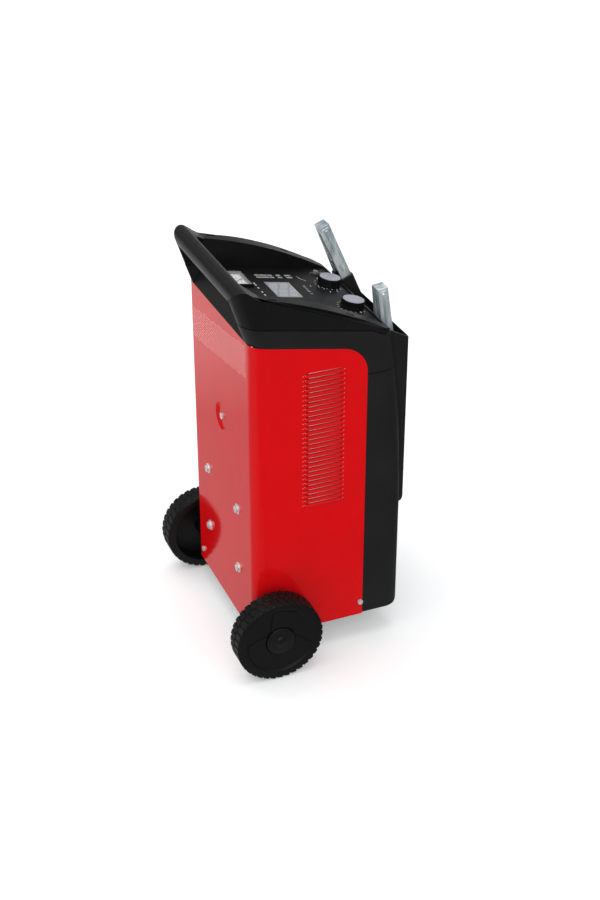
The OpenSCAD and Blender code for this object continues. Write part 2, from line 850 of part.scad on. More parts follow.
// Turned knob with a gripped skirt and the shaft that it is pressed on.
module knob() {
    grips = 24;
    low = plate_h + 0.8;
    difference() {
        union() {
            translate([0, 0, low]) cylinder(h = 2.2, r = knob_r);
            translate([0, 0, low]) linear_extrude(knob_h - 1.4) difference() {
                circle(knob_r - 1.2);
                for (i = [0:grips - 1])
                    rotate(i * 360 / grips) translate([knob_r - 0.7, 0]) circle(0.9, $fn = 16);
            }
        }
        cylinder(h = plate_h + nut_h + 1.4, r = nut_r + 1.5);
        translate([0, 0, plate_h + knob_h - 1.4]) cylinder(h = 3, r = disc_r);
    }
    translate([0, 0, -bush_len - 6]) cylinder(h = knob_h + bush_len + 5, r = shaft_r);
}

module knob_disc() {
    translate([0, 0, plate_h + knob_h - 1.4]) cylinder(h = 1.4, r = disc_r - 0.02);
}

module selector_knob() {
    color(BLACK) placed() on_console(knob_x, knob_in) knob();
}

module selector_disc() {
    color(PALE) placed() on_console(knob_x, knob_in) knob_disc();
}

module timer_knob() {
    color(BLACK) placed() on_console(-knob_x, knob_in) knob();
}

module timer_disc() {
    color(PALE) placed() on_console(-knob_x, knob_in) knob_disc();
}

module bush() {
    difference() {
        translate([0, 0, -wall - 4]) cylinder(h = wall + 4 + plate_h + nut_h, r = bush_r);
        translate([0, 0, -4 * bush_len]) cylinder(h = 8 * bush_len, r = shaft_r + run_fit);
    }
}

module selector_switch() {
    body_r = 17;
    color([0.55, 0.40, 0.25]) placed() on_console(knob_x, knob_in) {
        bush();
        difference() {
            union() {
                translate([0, 0, -wall - 26]) cylinder(h = 26, r = body_r);
                for (i = [0:5]) rotate(i * 60) translate([body_r - 3, -2.5, -wall - 33]) cube([1, 5, 8]);
            }
            translate([0, 0, -wall - 18]) cylinder(h = 30, r = bush_r + 1);
            translate([0, 0, -4 * bush_len]) cylinder(h = 8 * bush_len, r = shaft_r + run_fit);
        }
        translate([0, 0, -wall - 4]) difference() {
            cylinder(h = 4, r = bush_r + 1.5);
            translate([0, 0, -1]) cylinder(h = 9, r = bush_r - 0.5);
        }
    }
}

module timer_body() {
    side = 34;
    color([0.85, 0.85, 0.80]) placed() on_console(-knob_x, knob_in) {
        bush();
        difference() {
            translate([-side / 2, -knob_in + 6, -wall - 24]) cube([side, side, 24]);
            translate([0, 0, -wall - 18]) cylinder(h = 30, r = bush_r + 1);
            translate([0, 0, -4 * bush_len]) cylinder(h = 8 * bush_len, r = shaft_r + run_fit);
        }
        translate([0, 0, -wall - 4]) difference() {
            cylinder(h = 4, r = bush_r + 1.5);
            translate([0, 0, -1]) cylinder(h = 9, r = bush_r - 0.5);
        }
    }
}

module bush_nuts() {
    color(ZINC) placed() for (s = [-1, 1])
        on_console(s * knob_x, knob_in, plate_h) difference() {
            cylinder(h = nut_h, r = nut_r, $fn = 6);
            translate([0, 0, -1]) cylinder(h = 2 * nut_h + 2, r = bush_r);
        }
}

module reset_button() {
    color([0.75, 0.75, 0.78]) placed() on_console(button_x, button_v) {
        translate([0, 0, -8]) cylinder(h = 8 + plate_h + button_travel + 2, r = button_r);
    }
}

module breaker_body() {
    color(BLACK) placed() on_console(button_x, button_v) difference() {
        union() {
            translate([0, 0, -wall - 3]) cylinder(h = wall + 3 + plate_h + 1.2, r = button_r + 1.1);
            translate([0, 0, plate_h]) cylinder(h = 1.2, r = button_r + 2.4);
            translate([-7, -11, -wall - 22]) cube([14, 22, 22]);
        }
        translate([0, 0, -8 - button_travel - 1]) cylinder(h = 40, r = button_r + run_fit);
    }
}

// ---------------------------------------------------------------- wheels

washer_t = 1.5;
hub_low = washer_t + gap - wheel_gap;
face_drop = 3;
well_z = wheel_w - 5;
hub_r = 13;
wheel_x = half_w + wheel_gap;
clip_t = 1.2;
rim_in_r = 50;
web_t = 9;

module tread_half(turn) {
    step = 360 / tread_n;
    top = wheel_r + 2;
    low = wheel_r - tread_depth;
    polygon([for (i = [0:tread_n - 1], p = [[0, low], [0.08, top], [0.62, top], [0.70, low]])
        let (a = (i + p[0] - 0.35) * step + turn - 90) p[1] * [cos(a), sin(a)]]);
}

// Wheel with its inner face at z = 0 and its outer face at z = wheel_w.
module wheel() {
    difference() {
        union() {
            intersection() {
                cylinder(h = wheel_w, r = wheel_r, $fn = 128);
                union() {
                    linear_extrude(wheel_w / 2) tread_half(0);
                    translate([0, 0, wheel_w / 2 - 0.01])
                        linear_extrude(wheel_w / 2 + 0.01) tread_half(180 / tread_n);
                }
            }
            translate([0, 0, hub_low]) cylinder(h = wheel_w / 2 - hub_low, r = hub_r);
        }
        // Dished outer side, and the well for the hub cap
        translate([0, 0, wheel_w - face_drop])
            cylinder(h = face_drop + 1, r1 = rim_in_r - 1.5, r2 = rim_in_r + 0.5);
        translate([0, 0, well_z]) cylinder(h = wheel_w, r = cap_r);
        // Hollow inner side round the hub
        difference() {
            translate([0, 0, -1]) cylinder(h = wheel_w - web_t - 4, r = rim_in_r);
            translate([0, 0, -2]) cylinder(h = wheel_w, r = hub_r);
        }
        translate([0, 0, -far / 2]) cylinder(h = far, r = axle_r + run_fit);
    }
}

module wheel_side(s) {
    translate([s * wheel_x, -axle_in, axle_z]) rotate([0, s * 90, 0]) rotate([0, 0, 90 * s + 90]) children();
}

module hub_cap() {
    difference() {
        union() {
            translate([0, 0, well_z]) cylinder(h = 4.5, r = cap_r - 0.05);
            translate([0, 0, wheel_w - 0.5]) cylinder(h = 2, r1 = cap_r - 3, r2 = 8);
            translate([0, 0, wheel_w + 1]) cylinder(h = 2, r1 = 4, r2 = 3);
        }
        translate([0, 0, well_z - 1]) cylinder(h = 5, r = axle_r + 6);
    }
}

module wheel_left() {
    color(RUBBER) placed() wheel_side(-1) wheel();
}

module wheel_right() {
    color(RUBBER) placed() wheel_side(1) wheel();
}

module hub_cap_left() {
    color(BLACK) placed() wheel_side(-1) hub_cap();
}

module hub_cap_right() {
    color(BLACK) placed() wheel_side(1) hub_cap();
}

axle_len = 2 * (wheel_x + wheel_w - 2.4);

module axle() {
    color(ZINC) placed() translate([0, -axle_in, axle_z]) rod_x(axle_r, axle_len);
}

module axle_washers() {
    color(ZINC) placed() for (s = [-1, 1])
        translate([s * (half_w + washer_t / 2 + 0.05), -axle_in, axle_z]) difference() {
            rod_x(axle_r + 7, washer_t);
            rod_x(axle_r + 0.02, 3 * washer_t);
        }
}

module axle_clips() {
    color(ZINC) placed() for (s = [-1, 1])
        translate([s * (wheel_x + well_z + gap + clip_t / 2), -axle_in, axle_z]) difference() {
            rod_x(axle_r + 4.5, clip_t);
            rod_x(axle_r, 3 * clip_t);
        }
}

// --------------------------------------------------------- inside the body

core_back = -sheet_t - spacer_len;
core_front = core_back - core_d;
leg_core = core_w / 3;
window_w = core_w / 6;
window_h = core_h - core_w / 3;
wind_gap = 0.6;

module transformer_core() {
    color(CORE) placed() translate([0, core_front, core_mid_z]) difference() {
        translate([-core_w / 2, 0, -core_h / 2]) cube([core_w, core_d, core_h]);
        for (s = [-1, 1])
            translate([s * (leg_core / 2 + window_w / 2) - window_w / 2, -1, -window_h / 2])
                cube([window_w, core_d + 2, window_h]);
        for (sx = [-1, 1], sz = [-1, 1])
            translate([sx * bolt_dx / 2, -1, sz * bolt_dz / 2]) rod_y(rear_bolt_r + screw_fit, core_d + 2);
    }
}

module winding_ring(inner, thick) {
    difference() {
        square([leg_core + 2 * (inner + thick), core_d + 2 * (inner + thick)], center = true);
        square([leg_core + 2 * inner, core_d + 2 * inner], center = true);
    }
}

wind_t = (window_w - 4 * wind_gap) / 2;

module primary_winding() {
    color(COPPER) placed() translate([0, core_front + core_d / 2, core_mid_z])
        linear_extrude(window_h - 2 * wind_gap, center = true) winding_ring(wind_gap, wind_t);
}

module secondary_winding() {
    color([0.80, 0.52, 0.25]) placed() translate([0, core_front + core_d / 2, core_mid_z])
        linear_extrude(window_h - 6 * wind_gap, center = true)
            winding_ring(wind_gap * 1.5 + wind_t, wind_t - wind_gap);
}

module core_spacers() {
    color(STEEL) placed() for (p = bolt_places)
        translate([p[0], core_back, p[1]]) difference() {
            rod_y(rear_bolt_r + 2.5, spacer_len);
            translate([0, -1, 0]) rod_y(rear_bolt_r + screw_fit, spacer_len + 2);
        }
}

module core_bolts() {
    tail = 9;
    color(ZINC) placed() for (p = bolt_places)
        translate([p[0], core_front - tail, p[1]]) {
            pan_screw(rear_bolt_r, rear_head_r, -core_front + tail + 1.2);
            translate([0, tail - core_front, 0]) difference() {
                rod_y(rear_washer_r, 1.2);
                translate([0, -1, 0]) rod_y(rear_bolt_r - 0.2, 4);
            }
        }
}

module core_nuts() {
    color(ZINC) placed() for (p = bolt_places)
        translate([p[0], core_front - 5, p[1]]) difference() {
            rotate([-90, 0, 0]) cylinder(h = 5, r = rear_bolt_r + 2.8, $fn = 6);
            translate([0, -1, 0]) rod_y(rear_bolt_r, 8);
        }
}

bracket_w = 40;
bracket_t = 2;
bracket_h = 44;
fin_t = 2;
fin_len = 20;
diode_r = 6;
sink_w = 110;
sink_h = 84;
sink_y = -34;
sink_t = 3;
fin_n = 9;

module sink_bracket() {
    t = bracket_t;
    low = sink_screw_z - bracket_h / 2;
    color(STEEL) placed() difference() {
        union() {
            translate([-bracket_w / 2, -sheet_t - dish_d - t, low]) cube([bracket_w, t, bracket_h]);
            translate([-bracket_w / 2, sink_y, low]) cube([bracket_w, -sink_y - sheet_t - dish_d, t]);
            translate([-bracket_w / 2, sink_y, low]) cube([bracket_w, t, bracket_h]);
        }
        translate([0, -20, sink_screw_z]) rod_y(cover_bore_r + run_fit, 40);
    }
}

module sink_screw() {
    color(ZINC) placed() translate([0, -sheet_t - dish_d - 6, sink_screw_z])
        pan_screw(cover_bore_r, 4.6, 6 + sheet_t);
}

module heat_sink() {
    pitch = sink_w / fin_n;
    color(ALU) placed() translate([-sink_w / 2, sink_y - sink_t, sink_screw_z - sink_h / 2]) {
        cube([sink_w, sink_t, sink_h]);
        for (i = [0:fin_n - 1])
            translate([pitch * (i + 0.5) - fin_t / 2, -fin_len, 0]) cube([fin_t, fin_len + skin, sink_h]);
    }
}

module diodes() {
    pitch = sink_w / fin_n;
    color(STEEL) placed() for (sx = [-3, -1, 1, 3])
        translate([sx * pitch, sink_y, sink_screw_z + sink_h / 2 - 11]) {
            rod_y(diode_r, diode_r);
            rod_y(diode_r / 3, 2 * diode_r);
        }
}

module terminal_block() {
    w = 64;
    color([0.90, 0.90, 0.85]) placed() translate([-w / 2, -side_d + 3, under_z + plate_t]) difference() {
        cube([w, 18, 16]);
        for (i = [0:4]) translate([7 + i * 12.5, 9, 6]) cylinder(h = 12, r = 3.2);
    }
}

module cover_screws() {
    color(ZINC) placed() {
        for (s = [-1, 1])
            translate([s * corner_screw[0], -sheet_t - plate_t - 3, corner_screw[1]])
                pan_screw(cover_bore_r, screw_head_r, 3 + sheet_t + plate_t);
        for (s = [-1, 1])
            translate([s * (half_w - sheet_t - plate_t - 3), side_screw[0], side_screw[1]])
                rotate([0, 0, -90 * s]) pan_screw(cover_bore_r, screw_head_r, 3 + sheet_t + plate_t);
    }
}

module bezel_screws() {
    color(ZINC) placed() mirrored_x() rim_places() {
        translate([0, 0, -13]) cylinder(h = 10, r = 1.5);
        translate([0, 0, -3]) cylinder(h = 1.2, r = slot_w / 2 - 0.05);
    }
}

// --------------------------------------------------------- battery clamps

// Each clamp's frame: z up along the clamp through the pivot, x across the
// jaws, y along the pivot pin.

module clamp_at(c) {
    translate([c[1], c[2], c[3]])
        rotate([-c[0], 0, 0]) translate([0, 0, -jaw_len]) children();
}

// Outer edge of a leg at height z over the pivot.
function leg_x(z) = nose_half + (jaw_len - z) * tan(leg_splay);

module along_pin(w) {
    rotate([90, 0, 0]) linear_extrude(w, center = true) children();
}

module leg_face() {
    polygon([
        [-leg_x(jaw_len), jaw_len],
        [-gap / 2, jaw_len],
        [-gap / 2, jaw_len - 9],
        [-4, jaw_len - 15],
        [-5, ear_r + 4],
        [-2, ear_r - 1],
        [-2, -ear_r + 1],
        [-leg_x(-14) + leg_depth + 2, -14],
        [-leg_x(-neck_len) + leg_depth, -neck_len],
        [-leg_x(-neck_len - grip_len) + leg_depth, -neck_len - grip_len],
        [-leg_x(-neck_len - grip_len), -neck_len - grip_len]
    ]);
}

module leg_hollow() {
    polygon([
        [-leg_x(jaw_len - leg_t) + leg_t, jaw_len - leg_t],
        [far, jaw_len - leg_t],
        [far, -total_len],
        [-leg_x(-total_len) + leg_t, -total_len]
    ]);
}

module channel_leg(w) {
    difference() {
        along_pin(w) leg_face();
        along_pin(w - 2 * leg_t) leg_hollow();
    }
}

module ears(w) {
    difference() {
        rotate([90, 0, 0]) cylinder(h = w, r = ear_r, center = true);
        cube([4 * ear_r, w - 2 * leg_t, 4 * ear_r], center = true);
    }
}

module clamp_leg() {
    difference() {
        union() {
            channel_leg(leg_w);
            ears(leg_w);
        }
        rotate([90, 0, 0]) cylinder(h = 2 * leg_w, r = pin_r, center = true);
    }
}

jaw_ear_w = leg_w - 2 * leg_t - 2 * gap;

module clamp_jaw() {
    mirror([1, 0, 0]) difference() {
        union() {
            difference() {
                channel_leg(leg_w);
                rotate([90, 0, 0]) cylinder(h = 2 * leg_w, r = clear_r, center = true);
            }
            intersection() {
                channel_leg(jaw_ear_w);
                rotate([90, 0, 0]) cylinder(h = 2 * leg_w, r = clear_r + 5, center = true);
            }
            ears(jaw_ear_w);
        }
        rotate([90, 0, 0]) cylinder(h = 2 * leg_w, r = pin_r + run_fit, center = true);
    }
}

module clamp_pin() {
    rotate([90, 0, 0]) cylinder(h = leg_w + 1.6, r = pin_r, center = true);
    for (s = [-1, 1])
        translate([0, s * (leg_w / 2 + 0.5), 0])
            rotate([90, 0, 0]) cylinder(h = 1, r = pin_r + 1.3, center = true);
}

module clamp_sleeve() {
    low = -neck_len - grip_len - sleeve_t;
    end = low + sleeve_t - skin;
    difference() {
        along_pin(leg_w + 2 * sleeve_t + 2 * grip_slack) polygon([
            [-leg_x(-neck_len) - sleeve_t - grip_slack, -neck_len],
            [-leg_x(-neck_len) + leg_depth + sleeve_t, -neck_len],
            [-leg_x(low) + leg_depth + sleeve_t, low],
            [-leg_x(low) - sleeve_t - grip_slack, low]
        ]);
        along_pin(leg_w + 2 * grip_slack) polygon([
            [-leg_x(0) - grip_slack, 0],
            [-leg_x(0) + leg_depth + grip_slack, 0],
            [-leg_x(end) + leg_depth + grip_slack, end],
            [-leg_x(end) - grip_slack, end]
        ]);
    }
}

// Round tube along a list of points, with closed ends.
module tube(path, r, sides) {
    n = len(path);
    ways = [for (i = [0:n - 1]) path[min(i + 1, n - 1)] - path[max(i - 1, 0)]];
    rings = [for (i = [0:n - 1], k = [0:sides - 1])
        let (
            w = ways[i] / norm(ways[i]),
            u0 = cross(w, [0, 1, 0]),
            u = u0 / norm(u0),
            v = cross(w, u),
            a = 360 * k / sides
        ) path[i] + r * (u * cos(a) + v * sin(a))];
    sides_faces = [for (i = [0:n - 2], k = [0:sides - 1], t = [0, 1])
        let (a = i * sides + k, b = i * sides + (k + 1) % sides)
        t == 0 ? [a, b, b + sides] : [a, b + sides, a + sides]];
    start = [for (k = [1:sides - 2]) [0, k + 1, k]];
    last = (n - 1) * sides;
    end = [for (k = [1:sides - 2]) [last, last + k, last + k + 1]];
    polyhedron(points = rings, faces = concat(sides_faces, start, end));
}

wire_r = 0.65;
coil_r = pin_r + wire_r + 1.4;
coil_turns = 3.5;
coil_pitch = 1.9;
coil_steps = 8;
arm_z = -9;
coil_end = coil_turns / 2 * coil_pitch;
coil_path = [for (i = [0:coil_turns * coil_steps])
    let (a = 360 * i / coil_steps)
    [-coil_r * cos(a), (i / coil_steps - coil_turns / 2) * coil_pitch, coil_r * sin(a)]];
spring_path = concat(
    [[-leg_x(arm_z) + leg_t + wire_r + 0.1, -coil_end - 0.1, arm_z]],
    coil_path,
    [[coil_r + 2, coil_end + 0.1, arm_z]]
);

module clamp_spring() {
    tube(spring_path, wire_r, 6);
}

module right_clamp_leg() {
    color(ZINC) placed() clamp_at(clamp_right) clamp_leg();
}

module right_clamp_jaw() {
    color(ZINC) placed() clamp_at(clamp_right) clamp_jaw();
}

module right_clamp_pin() {
    color(STEEL) placed() clamp_at(clamp_right) clamp_pin();
}

module right_clamp_spring() {
    color(STEEL) placed() clamp_at(clamp_right) clamp_spring();
}

module right_leg_sleeve() {
    color(BLACK) placed() clamp_at(clamp_right) clamp_sleeve();
}

module right_jaw_sleeve() {
    color(BLACK) placed() clamp_at(clamp_right) mirror([1, 0, 0]) clamp_sleeve();
}

module left_clamp_leg() {
    color(ZINC) placed() clamp_at(clamp_left) clamp_leg();
}

module left_clamp_jaw() {
    color(ZINC) placed() clamp_at(clamp_left) clamp_jaw();
}

module left_clamp_pin() {
    color(STEEL) placed() clamp_at(clamp_left) clamp_pin();
}

module left_clamp_spring() {
    color(STEEL) placed() clamp_at(clamp_left) clamp_spring();
}

module left_leg_sleeve() {
    color(BLACK) placed() clamp_at(clamp_left) clamp_sleeve();
}

module left_jaw_sleeve() {
    color(BLACK) placed() clamp_at(clamp_left) mirror([1, 0, 0]) clamp_sleeve();
}

cover();
floor_plate();
top_bezel();
top_housing();
front_panel();
clamp_pocket();
control_plate();
meter_case();
meter_dial();
meter_needle();
meter_lens();
selector_knob();
selector_disc();
selector_switch();
timer_knob();
timer_disc();
timer_body();
bush_nuts();
reset_button();
breaker_body();
axle();
axle_washers();
axle_clips();
wheel_left();
wheel_right();
hub_cap_left();
hub_cap_right();
front_foot();
foot_pad();
foot_screws();
transformer_core();
primary_winding();
secondary_winding();
core_spacers();
core_bolts();
core_nuts();
heat_sink();
diodes();
sink_bracket();
sink_screw();
terminal_block();
lead_glands();
cover_screws();
bezel_screws();
right_clamp_leg();
right_clamp_jaw();
right_clamp_pin();
right_clamp_spring();
right_leg_sleeve();
right_jaw_sleeve();
left_clamp_leg();
left_clamp_jaw();
left_clamp_pin();
left_clamp_spring();
left_leg_sleeve();
left_jaw_sleeve();
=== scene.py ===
# %% [markdown]
# # A wheeled battery charger
# The object is a red sheet steel case between two wheels, with black moulded parts round it and
# two battery clamps parked in a pocket. Its solids are already made in CAD and come in as the
# frame: every part has its place and size there. This file gives each part its look, and models
# again, in finer form, the parts whose shape one sees best.

# %% Load the frame
import json
import math

import bmesh
import bpy
from mathutils import Matrix, Vector


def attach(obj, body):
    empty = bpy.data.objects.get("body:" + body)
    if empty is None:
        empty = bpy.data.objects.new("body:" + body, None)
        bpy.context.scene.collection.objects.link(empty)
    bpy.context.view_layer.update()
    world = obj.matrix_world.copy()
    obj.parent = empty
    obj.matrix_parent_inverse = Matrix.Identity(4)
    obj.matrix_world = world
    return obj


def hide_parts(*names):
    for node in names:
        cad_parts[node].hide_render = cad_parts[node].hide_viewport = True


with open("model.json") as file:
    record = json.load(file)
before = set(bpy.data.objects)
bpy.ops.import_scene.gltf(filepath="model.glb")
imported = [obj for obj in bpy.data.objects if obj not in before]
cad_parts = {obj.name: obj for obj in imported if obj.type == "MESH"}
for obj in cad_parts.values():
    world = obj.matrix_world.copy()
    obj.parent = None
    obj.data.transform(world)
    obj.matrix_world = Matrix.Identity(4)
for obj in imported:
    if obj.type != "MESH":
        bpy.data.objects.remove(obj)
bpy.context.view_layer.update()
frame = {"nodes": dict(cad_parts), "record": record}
MM = 0.001
REAR_Y = 96.5
JOINTS = {joint["name"]: joint for joint in frame["record"]["behaviour"]["joints"]}

# %% [markdown]
# Sizes are easier to read in millimetres from the rear steel face, the way a maker would measure
# the case. `place` turns such a point into the frame's metres, where the origin lies on the
# ground under the middle of the object.

# %% Points in millimetres from the rear face
def place(x, y, z):
    return Vector((x * MM, (y + REAR_Y) * MM, z * MM))

# %% [markdown]
# A finish is a network of nodes. Written out node by node it gets long, so a socket is wrapped in
# a small class: sums of sockets then read like ordinary sums, and one function adds any other node.

# %% A small language for finishes
class Sock:
    def __init__(self, out):
        self.out = out

    def math(self, name, *others):
        return node(self.out.id_data, "Math", *([self] + list(others)), operation=name)

    def __add__(self, o):
        return self.math("ADD", o)

    def __mul__(self, o):
        return self.math("MULTIPLY", o)

    __radd__ = __add__
    __rmul__ = __mul__

    def ramp(self, low, high, a=0.0, b=1.0):
        """Straight line from a at low to b at high, held beyond them."""
        return node(self.out.id_data, "MapRange", self, low, high, a, b)

    def mix(self, a, b):
        """Colour a where this is 0, colour b where it is 1."""
        return node(self.out.id_data, "Mix", {0: self, 6: a, 7: b}, data_type="RGBA", want=2)


def node(tree, kind, *inputs, want=0, **settings):
    n = tree.nodes.new("ShaderNode" + kind)
    for key, value in settings.items():
        setattr(n, key, value)
    if inputs and isinstance(inputs[0], dict):
        pairs = inputs[0].items()
    else:
        pairs = enumerate(inputs)
    for where, value in pairs:
        if isinstance(value, Sock):
            tree.links.new(value.out, n.inputs[where])
        else:
            n.inputs[where].default_value = value
    return Sock(n.outputs[want])


def finish_of(name, **values):
    """A material with one main shader; values are set on the shader's own sockets."""
    mat = bpy.data.materials.new(name)
    mat.use_nodes = True
    shader = mat.node_tree.nodes["Principled BSDF"]
    for key, value in values.items():
        shader.inputs[key.replace("_", " ")].default_value = value
    return mat, mat.node_tree, shader


def where(tree):
    return node(tree, "TexCoord", want=3)


def noise(tree, at, scale, detail=3.0, rough=0.5):
    return node(tree, "TexNoise", {0: at, 2: scale, 3: detail, 4: rough})


def feed(tree, shader, **socks):
    for key, sock in socks.items():
        tree.links.new(sock.out, shader.inputs[key.replace("_", " ")])


def bump(tree, shader, height, distance, strength=1.0):
    b = node(tree, "Bump", {"Strength": strength, "Distance": distance, "Height": height})
    tree.links.new(b.out, shader.inputs["Normal"])

# %% [markdown]
# Moulded and pressed parts never have knife edges: a mould or a press leaves every corner a little
# round, and these small rounds catch the light as thin lines. A part that keeps its CAD shape is
# therefore copied, its loose triangles joined, and its corners rounded by a fine bevel. The CAD
# part itself stays as it is and is replaced by the copy.

# %% Rounded copies of CAD parts
WELD = 2e-6
FLAT = math.radians(0.7)


def joined(name):
    """The triangles of a CAD part as one closed mesh, in the frame's place."""
    source = frame["nodes"][name]
    bm = bmesh.new()
    bm.from_mesh(source.data)
    bm.transform(source.matrix_world)
    bmesh.ops.remove_doubles(bm, verts=bm.verts, dist=WELD)
    bmesh.ops.dissolve_limit(bm, angle_limit=FLAT, verts=bm.verts, edges=bm.edges)
    bmesh.ops.recalc_face_normals(bm, faces=bm.faces)
    return bm


def part(name, bm, body, finish, replaces=(), smooth=32, width=0, segments=2, sharp=28):
    """Turns a mesh being built into a piece that rides on one of the bodies."""
    mesh = bpy.data.meshes.new(name)
    bm.to_mesh(mesh)
    bm.free()
    obj = bpy.data.objects.new(name, mesh)
    bpy.context.scene.collection.objects.link(obj)
    mesh.materials.append(finish)
    if width:
        round_off = obj.modifiers.new("rounded edges", "BEVEL")
        round_off.width = width * MM
        round_off.segments = segments
        round_off.limit_method = "ANGLE"
        round_off.angle_limit = math.radians(sharp)
        round_off.harden_normals = True
    mesh.shade_smooth()
    mesh.set_sharp_from_angle(angle=math.radians(smooth))
    if width:
        level = obj.modifiers.new("flat faces stay flat", "WEIGHTED_NORMAL")
        level.keep_sharp = True
        level.weight = 100
    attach(obj, body)
    if replaces:
        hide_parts(*replaces)
    return obj


BODY_OF = {cad: body for body, nodes in frame["record"]["behaviour"]["bodies"].items() for cad in nodes}


def soften(name, finish, width, segments=2, bm=None, **more):
    """The rounded copy that replaces a CAD part; bm is its mesh where that was changed first."""
    if bm is None:
        bm = joined(name)
    piece = part(name + "_fine", bm, BODY_OF[name], finish, [name], width=width, segments=segments, **more)
    return piece


# %% [markdown]
# The case is sprayed with a glossy red powder coat over sheet steel. Powder coat is never quite
# flat: a very shallow orange peel breaks up the reflections. It reflects little when one looks
# straight at it and a lot at a glancing angle, which the shader's own reflection gives.

# %% Red powder coat
def red_paint():
    light, deep = (0.67, 0.0045, 0.0065, 1), (0.62, 0.004, 0.006, 1)
    mat, tree, s = finish_of("red_powder_coat", Base_Color=light, Roughness=0.08, Specular_IOR_Level=0.2)
    at = where(tree)
    peel = noise(tree, at, 420, 1.0)
    wear = noise(tree, at, 26, 4.0, 0.6)
    feed(tree, s, Roughness=wear.ramp(0.3, 0.8, 0.06, 0.12),
         Base_Color=wear.ramp(0.35, 0.75).mix(light, deep))
    bump(tree, s, peel, 0.00002, 0.25)
    return mat


RED = red_paint()
print("finish", RED.name)

# %% [markdown]
# The black parts are injection moulded with a fine spark-eroded grain. The grain is small, half a
# millimetre to a millimetre, and it scatters the light softly. The mouldings on the front are
# given a slightly paler tone than the top one, and the wheels a darker one.

# %% Black mouldings
def moulded(name, tone, rough, grain=0.00006, scale=1500, level=0.5):
    mat, tree, s = finish_of(name, Base_Color=(tone, tone, tone * 1.04, 1), Roughness=rough,
                             Specular_IOR_Level=level)
    at = where(tree)
    fine = noise(tree, at, scale, 2.0, 0.6)
    broad = noise(tree, at, 14, 3.0, 0.55)
    feed(tree, s, Roughness=broad.ramp(0.3, 0.7, rough - 0.05, rough + 0.05),
         Base_Color=broad.ramp(0.3, 0.75).mix((tone * 0.9, tone * 0.9, tone * 0.95, 1),
                                              (tone * 1.15, tone * 1.15, tone * 1.18, 1)))
    bump(tree, s, fine, grain, 0.5)
    return mat


BLACK = moulded("black_moulding", 0.0082, 0.38, level=0.18)
BLACK_FRONT = moulded("front_moulding", 0.0135, 0.42, level=0.22)
BLACK_KNOB = moulded("black_knob", 0.007, 0.30, 0.00003, level=0.35)
WHEEL = moulded("wheel_black", 0.0055, 0.44, 0.00010, 900, level=0.2)
CAP = moulded("hub_cap_black", 0.0055, 0.38, 0.00005, level=0.28)
VINYL = moulded("dipped_vinyl", 0.010, 0.30, 0.00003, 700)
RUBBER = moulded("black_rubber", 0.012, 0.62, 0.00008, 700)
FOIL = moulded("console_foil", 0.006, 0.34, 0.00003, 1800, level=0.3)
BAKELITE = moulded("dark_phenolic", 0.05, 0.35)
print("finishes", BLACK.name, BLACK_KNOB.name, WHEEL.name, VINYL.name)

# %% [markdown]
# The metals: zinc on screws, nuts and the axle, bright nickel on the clamps, plain steel on the
# floor plate, pins and springs, aluminium on the heat sink. Plated sheet shows soft cloudy
# patches, and rolled stock fine lines along one way. Zinc and nickel are set short of full metal
# on purpose: it keeps them pale where the studio that they mirror is dark.

# %% Metals
def metal(name, colour, rough, cloud=40, spread=0.08, line=0.0, along="Y", metallic=1.0):
    mat, tree, s = finish_of(name, Base_Color=(*colour, 1), Metallic=metallic, Roughness=rough)
    at = where(tree)
    patch = noise(tree, at, cloud, 3.0, 0.55)
    darker = tuple(c * 0.86 for c in colour)
    feed(tree, s, Roughness=patch.ramp(0.3, 0.7, max(rough - spread, 0.04), rough + spread),
         Base_Color=patch.ramp(0.35, 0.7).mix((*colour, 1), (*darker, 1)))
    if line:
        stretch = {"X": (30, 2500, 2500), "Y": (2500, 30, 2500), "Z": (2500, 2500, 30)}[along]
        lines = noise(tree, node(tree, "Mapping", {0: at, 3: stretch}), 1.0, 2.0)
        bump(tree, s, lines, line, 0.4)
    return mat


ZINC = metal("zinc_plate", (0.86, 0.90, 0.90), 0.26, 90, 0.06, metallic=0.6)
STEEL = metal("plain_steel", (0.48, 0.49, 0.50), 0.34, 50, 0.08, 0.00003, "X")
ALUMINIUM = metal("extruded_aluminium", (0.75, 0.76, 0.78), 0.32, 30, 0.06, 0.00004, "Z")
CORE = metal("varnished_laminations", (0.12, 0.12, 0.14), 0.42, 60, 0.1, 0.0001, "X")
COPPER = metal("enamelled_copper", (0.56, 0.23, 0.10), 0.30, 80, 0.08, 0.0001, "Z")


def nickel():
    """Bright plate on drawn sheet; the dark streaks stand in for its broken reflections."""
    mat, tree, s = finish_of("bright_nickel", Roughness=0.22, Metallic=0.5, Specular_IOR_Level=0.6)
    at = where(tree)
    streak = noise(tree, node(tree, "Mapping", {0: at, 3: (90, 90, 14)}), 1.0, 4.0, 0.6)
    tone = streak.ramp(0.36, 0.60).mix((0.36, 0.46, 0.51, 1), (0.93, 1.0, 1.0, 1))
    feed(tree, s, Base_Color=tone, Roughness=streak.ramp(0.3, 0.7, 0.30, 0.14))
    bump(tree, s, streak, 0.0004, 0.5)
    return mat


NICKEL = nickel()
print("metals", ZINC.name, NICKEL.name, STEEL.name, ALUMINIUM.name, CORE.name, COPPER.name)

# %% [markdown]
# Plain smooth finishes: lilac grey for the knob discs, card for the meter's dial, ivory nylon for
# the terminal block and the timer, the button, the needle, and the two printing inks. The lens
# over the meter is clear plastic, thin enough to be made by see-through alone.

